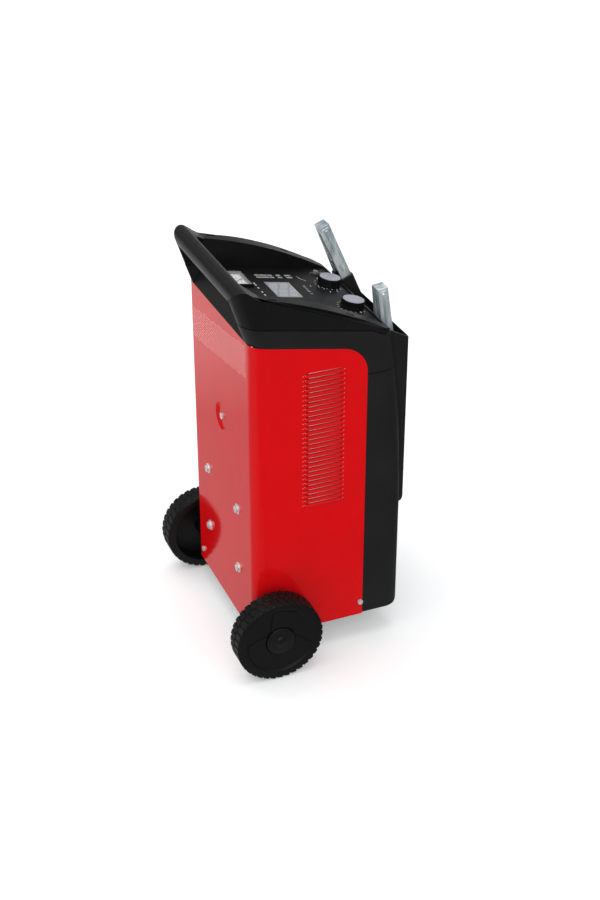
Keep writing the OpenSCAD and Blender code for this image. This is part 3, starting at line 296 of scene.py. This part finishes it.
# %% Plain finishes and the lens
def plain(name, colour, rough, level=0.5):
    mat, tree, s = finish_of(name, Base_Color=(*colour, 1), Roughness=rough, Specular_IOR_Level=level)
    at = where(tree)
    patch = noise(tree, at, 90, 2.0)
    feed(tree, s, Roughness=patch.ramp(0.3, 0.7, rough - 0.04, rough + 0.04),
         Base_Color=patch.ramp(0.3, 0.7).mix((*colour, 1), (*(c * 0.94 for c in colour), 1)))
    return mat


DISC = plain("lilac_disc", (0.40, 0.41, 0.47), 0.38)
CARD = plain("dial_card", (0.80, 0.80, 0.76), 0.6)
IVORY = plain("ivory_nylon", (0.70, 0.67, 0.56), 0.4)
BUTTON = plain("button_grey", (0.22, 0.23, 0.25), 0.35)
NEEDLE = plain("needle_red", (0.6, 0.02, 0.01), 0.4)
PRINT = plain("printed_white", (0.62, 0.62, 0.62), 0.5)
PRINT_GREY = plain("printed_silver", (0.30, 0.31, 0.35), 0.40)


def clear_lens():
    mat, tree, s = finish_of("clear_lens", Base_Color=(0.95, 0.97, 0.98, 1), Roughness=0.04, IOR=1.45,
                             Alpha=0.16, Specular_IOR_Level=0.5)
    at = where(tree)
    feed(tree, s, Roughness=noise(tree, at, 120, 2.0).ramp(0.3, 0.7, 0.03, 0.07))
    return mat


LENS = clear_lens()
print("plain finishes", DISC.name, CARD.name, IVORY.name, LENS.name)

# %% [markdown]
# The case's cover is one sheet of steel bent round the rear, and its bends and the louvres' edges
# are round by nature. The black mouldings above and in front of it have corner rounds of 0.5 to
# 1.2 mm, as a mould needs them. Where two mouldings meet, a fine shadow gap is left between them,
# so a small misfit doesn't show: the lower one's top edge is let down by about a millimetre.

# %% Case and mouldings with rounded corners
SEAM_Z, SEAM_RISE = 514, 0.1853
PANEL_TOP = 422
GAP = 1.1


def seam_z(y):
    """Height of the seam under the top moulding, which rises towards the rear."""
    return SEAM_Z + SEAM_RISE * y


def let_down(bm, depth, chosen):
    """Lowers the upward faces that are chosen by their centre in millimetres."""
    verts = set()
    for face in bm.faces:
        c = face.calc_center_median() / MM
        if face.normal.z > 0.8 and chosen(c.y - REAR_Y, c.z):
            verts.update(face.verts)
    bmesh.ops.translate(bm, verts=list(verts), vec=(0, 0, -depth * MM))
    print("let down", len(verts), "corners")
    return bm


housing = let_down(joined("top_housing"), GAP, lambda y, z: seam_z(y) - 6.5 < z < seam_z(y) + 0.5)
panel = let_down(joined("front_panel"), GAP, lambda y, z: abs(z - PANEL_TOP) < 0.3)
shell = [
    soften("cover", RED, 0.35, 2, smooth=40),
    soften("top_bezel", BLACK, 1.2, 3),
    soften("top_housing", BLACK_FRONT, 0.5, bm=housing),
    soften("front_panel", BLACK_FRONT, 0.5, bm=panel),
    soften("clamp_pocket", BLACK_FRONT, 0.9, 2),
    soften("front_foot", BLACK, 0.6, 2),
    soften("meter_case", BLACK, 0.5, 2),
]
print("rounded", [p.name for p in shell])

# %% [markdown]
# Each wheel is one moulding: a tyre with two staggered rows of blocks, a shallow dished face and
# a well for the hub cap. The body of the wheel is spun from half of its section round the axle,
# like turning it on a lathe. Full turns are joined at the seam.

# %% Wheel body
INNER = 132.4
AXLE = JOINTS["left_wheel_spin"]["pos_m"]


def wheel_frame(bm, side):
    """From the wheel's own frame (z outwards along the axle) to its place on the case."""
    turn = Matrix.Rotation(math.radians(90 * side), 4, "Y")
    hub = Matrix.Translation((side * INNER * MM, AXLE[1], AXLE[2]))
    bm.transform(hub @ turn @ Matrix.Scale(MM, 4))
    bmesh.ops.recalc_face_normals(bm, faces=bm.faces)


def lathe(points, steps=96, closed=True):
    """Spins a line of (radius, height) points into a turned shape."""
    bm = bmesh.new()
    loop = [bm.verts.new((r, 0, z)) for r, z in points]
    ends = loop[1:] + loop[:1] if closed else loop[1:]
    edges = [bm.edges.new((a, b)) for a, b in zip(loop, ends)]
    bmesh.ops.spin(bm, geom=loop + edges, axis=(0, 0, 1), cent=(0, 0, 0), angle=math.tau,
                   steps=steps, use_merge=True)
    bmesh.ops.remove_doubles(bm, verts=bm.verts, dist=1e-4)
    bmesh.ops.recalc_face_normals(bm, faces=bm.faces)
    return bm


def rounded(points, r, steps=4):
    """Rounds the corners of a closed (radius, height) line."""
    out = []
    n = len(points)
    for i, p in enumerate(points):
        p, a, b = Vector(p), Vector(points[i - 1]), Vector(points[(i + 1) % n])
        u, v = (a - p), (b - p)
        d = min(r, u.length * 0.45, v.length * 0.45)
        u, v = p + u.normalized() * d, p + v.normalized() * d
        for k in range(steps + 1):
            t = k / steps
            out.append(tuple(u * (1 - t) ** 2 + p * (2 * t * (1 - t)) + v * t ** 2))
    return out


SECTION = [(6.1, -10.6), (13, -10.6), (13, 24), (49.8, 24), (49.8, 0.6), (52, 0), (59.4, 0.2), (60.8, 2),
           (60.8, 30.2), (59.2, 31.9), (55.5, 32.2), (50.3, 32.2), (49.2, 31.0), (47.6, 29.8), (45, 29.2),
           (21.2, 29.2), (20.6, 28.6), (20.5, 27.2), (6.1, 27.2)]


def wheel_names(side):
    return ("wheel_left", "left_wheel") if side < 0 else ("wheel_right", "right_wheel")


def wheel_body(side):
    bm = lathe(rounded(SECTION, 0.9, 3), 128)
    wheel_frame(bm, side)
    name, body = wheel_names(side)
    piece = part(name + "_body", bm, body, WHEEL, [name], smooth=35)
    return piece


wheels = [wheel_body(s) for s in (-1, 1)]
print("wheel faces", [len(w.data.polygons) for w in wheels])

# %% [markdown]
# Between the three spokes the face is a step lower, with edges that sweep round like a fan's.
# Here it is done the other way about: a raised ring sector is laid on the face for every spoke.
# Its outline is one face between two curved edges, pushed up and rounded at the rim.

# %% Swept spokes on the face
HUB_R, FACE_R = 21.4, 47.2
FACE_Z, SPOKE_RISE = 28.9, 1.5
LEAD = [(FACE_R, -43.0), (36, -51.0), (HUB_R, -71.0)]
TRAIL = [(FACE_R, 0.0), (36, 7.0), (HUB_R, 24.0)]
SPOKE_AT = (102, 222, 342)
ALONG, OVER_RIM, OVER_HUB = 14, 12, 16


def sweep_angle(points, r):
    """Angle in degrees at radius r on an edge given by three (radius, angle) points."""
    (r0, a0), (r1, a1), (r2, a2) = points
    if r > r1:
        return a1 + (a0 - a1) * (r - r1) / (r0 - r1)
    return a2 + (a1 - a2) * (r - r2) / (r1 - r2)


def arc(r, first, last, steps):
    """Points of an arc between two angles, without its ends."""
    return [(r, first + (last - first) * k / steps) for k in range(1, steps)]


def spoke_outline():
    radii = [HUB_R + (FACE_R - HUB_R) * k / ALONG for k in range(ALONG + 1)]
    outline = [(r, sweep_angle(LEAD, r)) for r in radii]
    outline += arc(FACE_R, sweep_angle(LEAD, FACE_R), sweep_angle(TRAIL, FACE_R), OVER_RIM)
    outline += [(r, sweep_angle(TRAIL, r)) for r in reversed(radii)]
    return outline + arc(HUB_R, sweep_angle(TRAIL, HUB_R), sweep_angle(LEAD, HUB_R), OVER_HUB)


def spokes(side):
    bm = bmesh.new()
    for turn in SPOKE_AT:
        verts = []
        for r, angle in spoke_outline():
            a = math.radians(angle + turn)
            verts.append(bm.verts.new((-side * r * math.sin(a), -r * math.cos(a), FACE_Z)))
        base = bm.faces.new(verts)
        top = bmesh.ops.extrude_face_region(bm, geom=[base])["geom"]
        lifted = [v for v in top if isinstance(v, bmesh.types.BMVert)]
        bmesh.ops.translate(bm, verts=lifted, vec=(0, 0, SPOKE_RISE))
    bmesh.ops.recalc_face_normals(bm, faces=bm.faces)
    wheel_frame(bm, side)
    name, body = wheel_names(side)
    piece = part(name + "_spokes", bm, body, WHEEL, smooth=35, width=0.5, segments=3)
    return piece


spoke_sets = [spokes(s) for s in (-1, 1)]
print("spokes", [len(p.data.polygons) for p in spoke_sets])

# %% [markdown]
# The hub cap is a disc that snaps over the end of the axle, with a small domed nib in its middle.
# It is turned from a line that starts and ends on the axis, so its pole is closed.

# %% Hub caps
CAP_LINE = [(0, 27.3), (20.2, 27.3), (20.4, 28.0), (20.4, 31.4), (20.1, 32.0), (19.3, 32.3), (12, 32.5),
            (8.2, 32.7), (7.4, 33.2), (6.6, 34.2), (5.0, 34.8), (2.6, 35.1), (0, 35.2)]


def hub_cap(side):
    bm = lathe(CAP_LINE, 96, closed=False)
    wheel_frame(bm, side)
    name = "hub_cap_left" if side < 0 else "hub_cap_right"
    piece = part(name + "_fine", bm, wheel_names(side)[1], CAP, [name], smooth=50)
    return piece


caps = [hub_cap(s) for s in (-1, 1)]
print("cap boxes", [tuple(round(d, 4) for d in c.dimensions) for c in caps])

# %% [markdown]
# The tread is a ring of slanted blocks in two rows, the second row half a step further on. One
# block is a small box with its outer corners rounded; the blocks are copied round the wheel.

# %% Tread blocks
TREAD_N = 37
TREAD_R = 60.6
BLOCK = (3.0, 7.9, 14.9)
ROWS_Z = (8.3, 23.9)
LEAN = 12


def tread(side):
    bm = bmesh.new()
    step = math.tau / TREAD_N
    for row, z in enumerate(ROWS_Z):
        for i in range(TREAD_N):
            made = bmesh.ops.create_cube(bm, size=1)["verts"]
            size = Matrix.Diagonal((*BLOCK, 1))
            lean = Matrix.Rotation(math.radians(LEAN if row else -LEAN), 4, "X")
            out = Matrix.Translation((TREAD_R, 0, z))
            spot = Matrix.Rotation((i + row * 0.5) * step, 4, "Z")
            bmesh.ops.transform(bm, matrix=spot @ out @ lean @ size, verts=made)
    wheel_frame(bm, side)
    name, body = wheel_names(side)
    piece = part(name + "_tread", bm, body, WHEEL, smooth=35, width=0.8, segments=2)
    return piece


treads = [tread(s) for s in (-1, 1)]
print("tread boxes", [tuple(round(d, 4) for d in t.dimensions) for t in treads])

# %% [markdown]
# The louvres are pressed into the cover's sides in one stroke: each is a slit with a low hood
# over it. Where the sheet turns into the hood it is drawn into a small round, which catches the
# light as a thin line with shade under it. The forms here are too fine to show that by
# themselves, so a lighter and a darker red stand in for the glint and the shade. These tints
# are a help for this light only: the paint on the real edge is the same red as the rest.

# %% Finishes of the louvre edges
def edge_finish(name, near, far):
    mat, tree, s = finish_of(name, Roughness=0.3, Specular_IOR_Level=0.3)
    # The painted glint and painted shade are strongest at the rear end of each louvre and fade towards the
    # front.
    along = node(tree, "SeparateXYZ", where(tree), want=1)
    patch = noise(tree, where(tree), 300, 2.0)
    fade = along + patch * 0.012
    feed(tree, s, Base_Color=fade.ramp(-0.022, 0.028).mix((*far, 1), (*near, 1)))
    return mat


GLINT = edge_finish("painted_hood_glint", (1.0, 0.50, 0.48), (0.72, 0.02, 0.02))
SHADE = edge_finish("shaded_red", (0.30, 0.001, 0.002), (0.36, 0.001, 0.002))
# Pale pink for the louvres' end domes: a painted highlight.
BEAD = edge_finish("painted_dome_highlight", (1.0, 0.30, 0.30), (0.95, 0.22, 0.22))
print("louvre finishes", GLINT.name, SHADE.name, BEAD.name)

# %% [markdown]
# Each louvre gets a fine bead along its upper edge in the painted glint, a darker bar under it
# in painted shade, and a small dome at either end and a smaller one beside the rear dome, pale
# pink as painted highlights. They are round bars and balls, about half sunk in the sheet and
# repeated at the louvres' pitch.

# %% Louvre edges
FIRST_Z, PITCH, LOUVRE_N = 239, 6.95, 29
LOUVRES = [FIRST_Z + PITCH * i for i in range(LOUVRE_N)]
HOOD_BACK, HOOD_FRONT = -73.0, -127.5
SIDE_X = 120


def bar(bm, a, b, r, segments=8, flat=1.0):
    """Round bar between two points, squeezed along x where flat is under one."""
    a, b = Vector(a), Vector(b)
    made = bmesh.ops.create_cone(bm, cap_ends=True, segments=segments, radius1=r, radius2=r,
                                 depth=(b - a).length)["verts"]
    turn = (b - a).to_track_quat("Z", "X").to_matrix().to_4x4()
    squeeze = Matrix.Diagonal((flat, 1, 1, 1))
    bmesh.ops.transform(bm, matrix=Matrix.Translation((a + b) / 2) @ squeeze @ turn, verts=made)


def ball(bm, at, r, flat=1.0, detail=8):
    made = bmesh.ops.create_uvsphere(bm, u_segments=detail, v_segments=detail // 2 + 1, radius=r)["verts"]
    bmesh.ops.transform(bm, matrix=Matrix.Translation(at) @ Matrix.Diagonal((flat, 1, 1, 1)), verts=made)


def settle(bm):
    """From millimetres behind the rear face to the frame."""
    bm.transform(Matrix.Translation(place(0, 0, 0)) @ Matrix.Scale(MM, 4))
    return bm


def louvre_lines(name, finish, dz, r, out, ends=(0.5, 0.5)):
    bm = bmesh.new()
    for side in (-1, 1):
        for z in LOUVRES:
            x = side * (SIDE_X + out)
            bar(bm, (x, HOOD_BACK - ends[0], z + dz), (x, HOOD_FRONT + ends[1], z + dz), r, flat=0.7)
    return part(name, settle(bm), "charger", finish, smooth=60)


def louvre_beads():
    bm = bmesh.new()
    for side in (-1, 1):
        for z in LOUVRES:
            for y in (HOOD_BACK - 0.4, HOOD_FRONT - 0.6):
                ball(bm, (side * (SIDE_X + 0.1), y, z + 2.6), 0.75, 0.6)
            ball(bm, (side * (SIDE_X + 0.05), HOOD_BACK + 2.7, z + 2.2), 0.6, 0.7)
    return part("louvre_beads", settle(bm), "charger", BEAD, smooth=60)


louvre_parts = [
    louvre_lines("louvre_edges", GLINT, 5.2, 0.33, 0.1, (5.5, 4.0)),
    # Dark red bars under the edges: painted shade.
    louvre_lines("louvre_shade_bars", SHADE, 4.1, 0.85, 0.1),
    louvre_beads(),
]
print("louvre pieces", [len(p.data.polygons) for p in louvre_parts])

# %% [markdown]
# The control plate is a dark foil with fine pale prints: rows of generic dashes by the meter, a
# silver rating plate without any words, and scale ticks round the two knobs. Screen printing
# lays down a film a few hundredths of a millimetre thick, and so each print is a very thin bar.

# %% Printed marks on the control plate
SLOPE = math.radians(10.5)
EDGE_Y, EDGE_Z = -191, 476.60
KNOB_X, KNOB_V = 39, 17.4
INK = 0.06


def on_plate(x, v):
    """A point on the sloping plate's underside, v up the slope from the console's front edge."""
    return Vector((x, EDGE_Y + v * math.cos(SLOPE), EDGE_Z + v * math.sin(SLOPE)))


def stroke(bm, a, b, width, height=INK, lift=1.0):
    """A thin printed bar from a to b, both given as (across, along) on the plate."""
    a, b = Vector((*a, 0)), Vector((*b, 0))
    made = bmesh.ops.create_cube(bm, size=1)["verts"]
    turn = Matrix.Rotation(math.atan2(b.y - a.y, b.x - a.x), 4, "Z")
    size = Matrix.Diagonal(((b - a).length, width, height, 1))
    spot = Matrix.Translation((a + b) / 2 + Vector((0, 0, lift + height / 2)))
    to_plate = Matrix.Translation(on_plate(0, 0)) @ Matrix.Rotation(SLOPE, 4, "X")
    bmesh.ops.transform(bm, matrix=to_plate @ spot @ turn @ size, verts=made)


def ticks(bm, centre, r, angles, length=2.6, width=0.8):
    for angle in angles:
        c, s = math.cos(math.radians(angle)), math.sin(math.radians(angle))
        stroke(bm, (centre[0] + r * c, centre[1] + r * s),
               (centre[0] + (r + length) * c, centre[1] + (r + length) * s), width)


ROW_STEP = 2.3
BLOCKS = ((99, 116), (91, 96), (79, 85), (64, 73))
SHORT_MARKS = (31, 27, 21, 16, 11, 4)
DASHES = ((59, 26), (31, 48), (28, 37), (21, 32), (11.5, 27), (13.5, 16), (-58, 13))
LEADERS = (((78, 29), (82, 19)), ((82, 19), (81.5, 10)), ((65, 55), (56.5, 53)), ((56.5, 53), (49, 47)))


def white_prints():
    bm = bmesh.new()
    for low, high in BLOCKS:
        for k in range(int((high - low) / ROW_STEP) + 1):
            v = low + ROW_STEP * k
            stroke(bm, (58, v), (62.4, v), 1.2)
            stroke(bm, (65.2, v + 0.4), (69.8, v + 0.4), 1.2)
    for x in SHORT_MARKS:
        stroke(bm, (x, 56.4), (x, 60), 1.0)
    for x, v in DASHES:
        stroke(bm, (x - 1.6, v), (x + 1.6, v), 1.1)
    for x in (KNOB_X, -KNOB_X):
        ticks(bm, (x, KNOB_V), 18.6, range(-30, 211, 20))
    for a, b in LEADERS:
        stroke(bm, a, b, 0.8)
    return part("white_prints", settle(bm), "charger", PRINT, smooth=30)


def rating_plate():
    bm = bmesh.new()
    stroke(bm, (-9, 94), (43, 94), 36, 0.10)
    plate = part("rating_plate", settle(bm), "charger", PRINT_GREY, smooth=30, width=0.04)
    marks = bmesh.new()
    for row in range(11):
        v = 79 + 3.0 * row
        x = -6.0
        for k, length in enumerate((7, 4, 9, 3, 6, 8)):
            if (row + k) % 5:
                stroke(marks, (x, v), (x + length, v), 1.1, 0.05, 1.09)
            x += length + 1.6
    stroke(marks, (-6, 76.6), (42, 76.6), 0.7, 0.05, 1.09)
    for x in (-4, 6, 20, 30, 36):
        stroke(marks, (x, 128), (x + 4, 128), 2.2, 0.05)
    lines = part("rating_lines", settle(marks), "charger", PRINT, smooth=30)
    return plate, lines


prints = [white_prints(), *rating_plate()]
print("prints", [len(p.data.polygons) for p in prints])

# %% [markdown]
# A knob is moulded with fine ribs round its skirt for the fingers. The ribs are slim bars set
# round the skirt of the CAD knob, which stays as it is, and they turn with it.

# %% Ribs on the knobs
RIB_N = 36
RIB = (0.5, 1.1, 7.4)
SKIRT_R, SKIRT_Z = 15.75, 6.4


def knob_trim(node_name, x, body):
    bm = bmesh.new()
    to_plate = Matrix.Translation(on_plate(x, KNOB_V)) @ Matrix.Rotation(SLOPE, 4, "X")
    for k in range(RIB_N):
        made = bmesh.ops.create_cube(bm, size=1)["verts"]
        around = Matrix.Rotation(math.tau * k / RIB_N, 4, "Z")
        spot = around @ Matrix.Translation((SKIRT_R, 0, SKIRT_Z))
        bmesh.ops.transform(bm, matrix=to_plate @ spot @ Matrix.Diagonal((*RIB, 1)), verts=made)
    ribs = part(node_name + "_ribs", settle(bm), body, BLACK_KNOB, smooth=30, width=0.16)
    return ribs


trims = [knob_trim("selector_knob", KNOB_X, "selector"), knob_trim("timer_knob", -KNOB_X, "timer")]
print("ribs", [len(t.data.polygons) // 6 for t in trims])

# %% [markdown]
# Near the top of the rear face lies a slanting band of very small, pale print. Here it holds only
# hairline dashes in rows, without any words. Each dash is a film of paint a few hundredths of a
# millimetre thick, so it is a thin flat bar on the sheet.

# %% Hairline dashes on the rear face
def note_finish():
    mat, tree, s = finish_of("pale_note_print", Roughness=0.45)
    at = where(tree)
    worn = noise(tree, at, 500, 2.0)
    feed(tree, s, Base_Color=worn.ramp(0.35, 0.65).mix((1.0, 0.58, 0.58, 1), (0.92, 0.26, 0.26, 1)),
         Roughness=worn.ramp(0.3, 0.7, 0.4, 0.5))
    return mat


NOTE = note_finish()


DASH_LONG = (7, 4, 9, 5, 3, 8, 5, 6, 3, 9, 4, 6)
DASH_GAP, DASH_HIGH, FILM = 2.6, 1.2, 0.08
ROW_N, ROW_TOP, ROW_DROP = 19, 484.0, 4.1
LEFT, RIGHT = -100.0, 104
BAND_TOP, BAND_FALL, BAND_FROM, BAND_HIGH = 486, 0.157, -118, 46


def note_rows():
    bm = bmesh.new()
    for row in range(ROW_N):
        x, k = LEFT + (row * 7) % 5, row * 5
        z = ROW_TOP - ROW_DROP * row
        while x < RIGHT:
            long = DASH_LONG[k % len(DASH_LONG)]
            top = BAND_TOP - BAND_FALL * (x - BAND_FROM)
            if top - BAND_HIGH < z < top:
                made = bmesh.ops.create_cube(bm, size=1)["verts"]
                size = Matrix.Diagonal((long, FILM, DASH_HIGH, 1))
                spot = Matrix.Translation((x + long / 2, 0.03, z))
                bmesh.ops.transform(bm, matrix=spot @ size, verts=made)
            x, k = x + long + DASH_GAP, k + 1
    return part("note_rows", settle(bm), "charger", NOTE, smooth=30)


notes = note_rows()
print("dashes", len(notes.data.polygons) // 6)

# %% [markdown]
# The battery clamps are pressed from thin steel and nickel plated: each half is a channel whose
# corners are round from the press. The grips' sleeves are dipped vinyl, soft at every corner.

# %% Clamp halves and sleeves
clamp_parts = []
for hand in ("right", "left"):
    for half in ("leg", "jaw"):
        clamp_parts.append(soften(f"{hand}_clamp_{half}", NICKEL, 0.9, 3, smooth=40))
        clamp_parts.append(soften(f"{hand}_{half}_sleeve", VINYL, 1.0, 3, smooth=40))
print("clamp parts", len(clamp_parts))

# %% [markdown]
# Beads are pressed into the back of each half to stiffen it: a long one, two fine ones beside it
# and a short one across the end. Each is a round ridge with ball ends, sunk so that 0.3 to 1.3 mm
# stands out. They are made in the clamp's own frame, where z runs up from the pivot, and the
# record's joints give that frame's place and lean.

# %% Stiffening beads
JAW_LEN, NOSE_HALF, SPLAY = 57.0, 9.5, math.radians(4)
LONG_BEAD = ((0, 48), (0, -14), 3.4, 2.1)
FINE_BEADS = tuple(((y, 44), (y, 2), 0.9, 0.55) for y in (-5.2, 5.2))
CROSS_BEAD = ((-4.6, 52.5), (4.6, 52.5), 1.0, 0.5)


def in_clamp(bm, hand):
    pivot = Matrix.Translation(JOINTS[f"{hand}_clamp_open"]["pos_m"])
    up = Vector(JOINTS[f"{hand}_clamp_lift"]["axis"])
    lean = Vector((0, 0, 1)).rotation_difference(up).to_matrix().to_4x4()
    bm.transform(pivot @ lean @ Matrix.Scale(MM, 4))
    return bm


def back_x(z):
    """How far a half's back lies from the clamp's middle, at height z."""
    return NOSE_HALF + (JAW_LEN - z) * math.tan(SPLAY)


def ridge(bm, side, a, b, r, sink):
    """Ridge on the back of one half, from (y, z) to (y, z) in the clamp's frame."""
    ends = [Vector((side * (back_x(z) - sink), y, z)) for y, z in (a, b)]
    bar(bm, ends[0], ends[1], r, 16)
    for end in ends:
        ball(bm, end, r, detail=16)


def beads(hand, half, side):
    bm = bmesh.new()
    for start, end, r, sink in (LONG_BEAD, *FINE_BEADS, CROSS_BEAD):
        ridge(bm, side, start, end, r, sink)
    body = f"{hand}_clamp" if half == "leg" else f"{hand}_jaw"
    piece = part(f"{hand}_{half}_beads", in_clamp(bm, hand), body, NICKEL, smooth=50)
    return piece


bead_parts = []
for hand in ("right", "left"):
    for half, side in (("leg", -1), ("jaw", 1)):
        bead_parts.append(beads(hand, half, side))
print("beads", [p.name for p in bead_parts])

# %% [markdown]
# The parts inside the case, the knobs, the console's plate and the smallest parts outside keep
# their CAD shape and only need their finish. A node's mesh stays as it is and gets one material,
# and so do the parts that have a finer copy.

# %% Finishes for the parts that keep their CAD shape
FINISHES = {
    "cover": RED, "top_bezel": BLACK, "top_housing": BLACK_FRONT, "front_panel": BLACK_FRONT,
    "clamp_pocket": BLACK_FRONT, "front_foot": BLACK, "meter_case": BLACK, "control_plate": FOIL,
    "meter_dial": CARD,
    "meter_needle": NEEDLE, "meter_lens": LENS, "selector_knob": BLACK_KNOB, "timer_knob": BLACK_KNOB,
    "selector_disc": DISC, "timer_disc": DISC, "selector_switch": BAKELITE, "breaker_body": BAKELITE,
    "timer_body": IVORY, "terminal_block": IVORY, "reset_button": BUTTON, "bush_nuts": ZINC,
    "axle": ZINC, "axle_washers": ZINC, "axle_clips": ZINC, "foot_screws": ZINC, "core_spacers": ZINC,
    "core_bolts": ZINC, "core_nuts": ZINC, "sink_screw": ZINC, "sink_bracket": STEEL,
    "cover_screws": ZINC, "bezel_screws": ZINC, "floor_plate": STEEL, "wheel_left": WHEEL,
    "wheel_right": WHEEL, "hub_cap_left": CAP, "hub_cap_right": CAP, "foot_pad": RUBBER,
    "lead_glands": RUBBER, "transformer_core": CORE, "primary_winding": COPPER,
    "secondary_winding": COPPER, "heat_sink": ALUMINIUM, "diodes": STEEL,
    "right_clamp_leg": NICKEL, "right_clamp_jaw": NICKEL, "left_clamp_leg": NICKEL,
    "left_clamp_jaw": NICKEL, "right_clamp_pin": STEEL, "left_clamp_pin": STEEL,
    "right_clamp_spring": STEEL, "left_clamp_spring": STEEL, "right_leg_sleeve": VINYL,
    "right_jaw_sleeve": VINYL, "left_leg_sleeve": VINYL, "left_jaw_sleeve": VINYL,
}
for name, cad in frame["nodes"].items():
    cad.data.materials.clear()
    cad.data.materials.append(FINISHES[name])
print(len(FINISHES), "CAD parts have their finish")

# %% [markdown]
# The object stands on a flat pale floor in soft studio light. The camera sees the floor lifted to
# white, so that only the object's shadow is seen on it, and that lift gives the object no light.
# In the gloss the floor is white on the far side and dark on the camera's side, as if a black
# card lay there, which keeps the reflections in the paint dark on that side.

# %% Floor
FLOOR_SIZE = 30
WHITE = (1, 1, 1, 1)
LIFT, CARD_GLOW = 0.2, 0.08


def make_floor():
    bm = bmesh.new()
    bmesh.ops.create_grid(bm, x_segments=1, y_segments=1, size=FLOOR_SIZE)
    mesh = bpy.data.meshes.new("studio_floor")
    bm.to_mesh(mesh)
    bm.free()
    floor = bpy.data.objects.new("studio_floor", mesh)
    bpy.context.scene.collection.objects.link(floor)
    mat, tree, shader = finish_of("studio_floor", Base_Color=(0.93, 0.93, 0.93, 1), Roughness=0.9,
                                  Specular_IOR_Level=0.0)
    # the camera alone sees the floor lifted to white, so no light is added to the object
    lit = Sock(shader.outputs[0])
    lift = node(tree, "Emission", {0: WHITE, 1: LIFT})
    lifted = node(tree, "AddShader", {0: lit, 1: lift})
    seen = node(tree, "MixShader", {0: node(tree, "LightPath", want=0), 1: lit, 2: lifted})
    # only the gloss sees the dark card and the white beyond it
    across = node(tree, "SeparateXYZ", where(tree))
    rearwards = node(tree, "SeparateXYZ", where(tree), want=1)
    beyond = across * 0.75 + rearwards * 0.65
    white_share = beyond.ramp(-0.35, 0.1, 0.0, 0.5) + beyond.ramp(0.62, 0.88, 0.0, 0.5)
    card = node(tree, "Emission", {0: WHITE, 1: CARD_GLOW})
    white = node(tree, "Emission", {0: WHITE, 1: 1.0})
    mirrored = node(tree, "MixShader", {0: white_share, 1: card, 2: white})
    both = node(tree, "MixShader", {0: node(tree, "LightPath", want=3), 1: seen, 2: mirrored})
    tree.links.new(both.out, tree.nodes["Material Output"].inputs["Surface"])
    floor.data.materials.append(mat)
    return floor


floor = make_floor()
print("floor", floor.name)

# %% [markdown]
# A wide soft light comes from above and a little from the camera's left, a second one from behind
# the camera, and the surroundings fill in from all sides. In reflections the surroundings are
# dimmer and uneven, as a real room is beyond the lamps.

# %% Lamps and surroundings
def sun(name, azimuth, elevation, spread, strength):
    data = bpy.data.lights.new(name, "SUN")
    data.angle = math.radians(spread)
    data.energy = strength
    obj = bpy.data.objects.new(name, data)
    a, e = math.radians(azimuth), math.radians(elevation)
    toward = Vector((math.cos(a) * math.cos(e), math.sin(a) * math.cos(e), math.sin(e)))
    obj.rotation_euler = toward.to_track_quat("Z", "Y").to_euler()
    bpy.context.scene.collection.objects.link(obj)
    return obj


lamps = [
    sun("overhead", 60, 78, 60, 1.1),
    sun("camera_softbox", 165, 35, 50, 0.75),
]


def surroundings():
    world = bpy.data.worlds.new("studio")
    bpy.context.scene.world = world
    world.use_nodes = True
    tree = world.node_tree
    for old in list(tree.nodes):
        tree.nodes.remove(old)
    height = node(tree, "SeparateXYZ", node(tree, "TexCoord", want=0), want=2)
    cards = noise(tree, node(tree, "TexCoord", want=0), 2.6, 1.0).ramp(0.44, 0.56, 0.35, 1.0)
    room = height.ramp(0.0, 0.9, 0.25, 0.9) * cards
    fill = node(tree, "Background", {0: (0.97, 0.98, 1, 1), 1: 0.62})
    shine = node(tree, "Background", {0: room, 1: 1.0})
    white = node(tree, "Background", {0: WHITE, 1: 1.0})
    glossy = node(tree, "LightPath", want=3)
    camera_ray = node(tree, "LightPath", want=0)
    unseen = node(tree, "MixShader", {0: glossy, 1: fill, 2: shine})
    seen = node(tree, "MixShader", {0: camera_ray, 1: unseen, 2: white})
    out = tree.nodes.new("ShaderNodeOutputWorld")
    tree.links.new(seen.out, out.inputs["Surface"])


surroundings()
print("lamps", [(l.name, round(l.data.energy, 2)) for l in lamps])

# %% [markdown]
# The camera looks down on the rear left corner from about two metres, with a slightly long lens.

# %% Camera
LENS_MM, SENSOR_MM = 62.93, 36
CAMERA_AT = (-1759.5, 611.7, 1361.5)
YAW, PITCH_DOWN = -0.392, 0.527


def make_camera():
    data = bpy.data.cameras.new("camera")
    data.lens = LENS_MM
    data.sensor_width = SENSOR_MM
    cam = bpy.data.objects.new("camera", data)
    cam.location = place(*CAMERA_AT)
    level = math.cos(PITCH_DOWN)
    ahead = Vector((math.cos(YAW) * level, math.sin(YAW) * level, -math.sin(PITCH_DOWN)))
    cam.rotation_euler = ahead.to_track_quat("-Z", "Y").to_euler()
    bpy.context.scene.collection.objects.link(cam)
    bpy.context.scene.camera = cam
    return cam


camera = make_camera()
bpy.context.scene.view_settings.view_transform = "Standard"
print("camera at", tuple(round(c, 3) for c in camera.location))
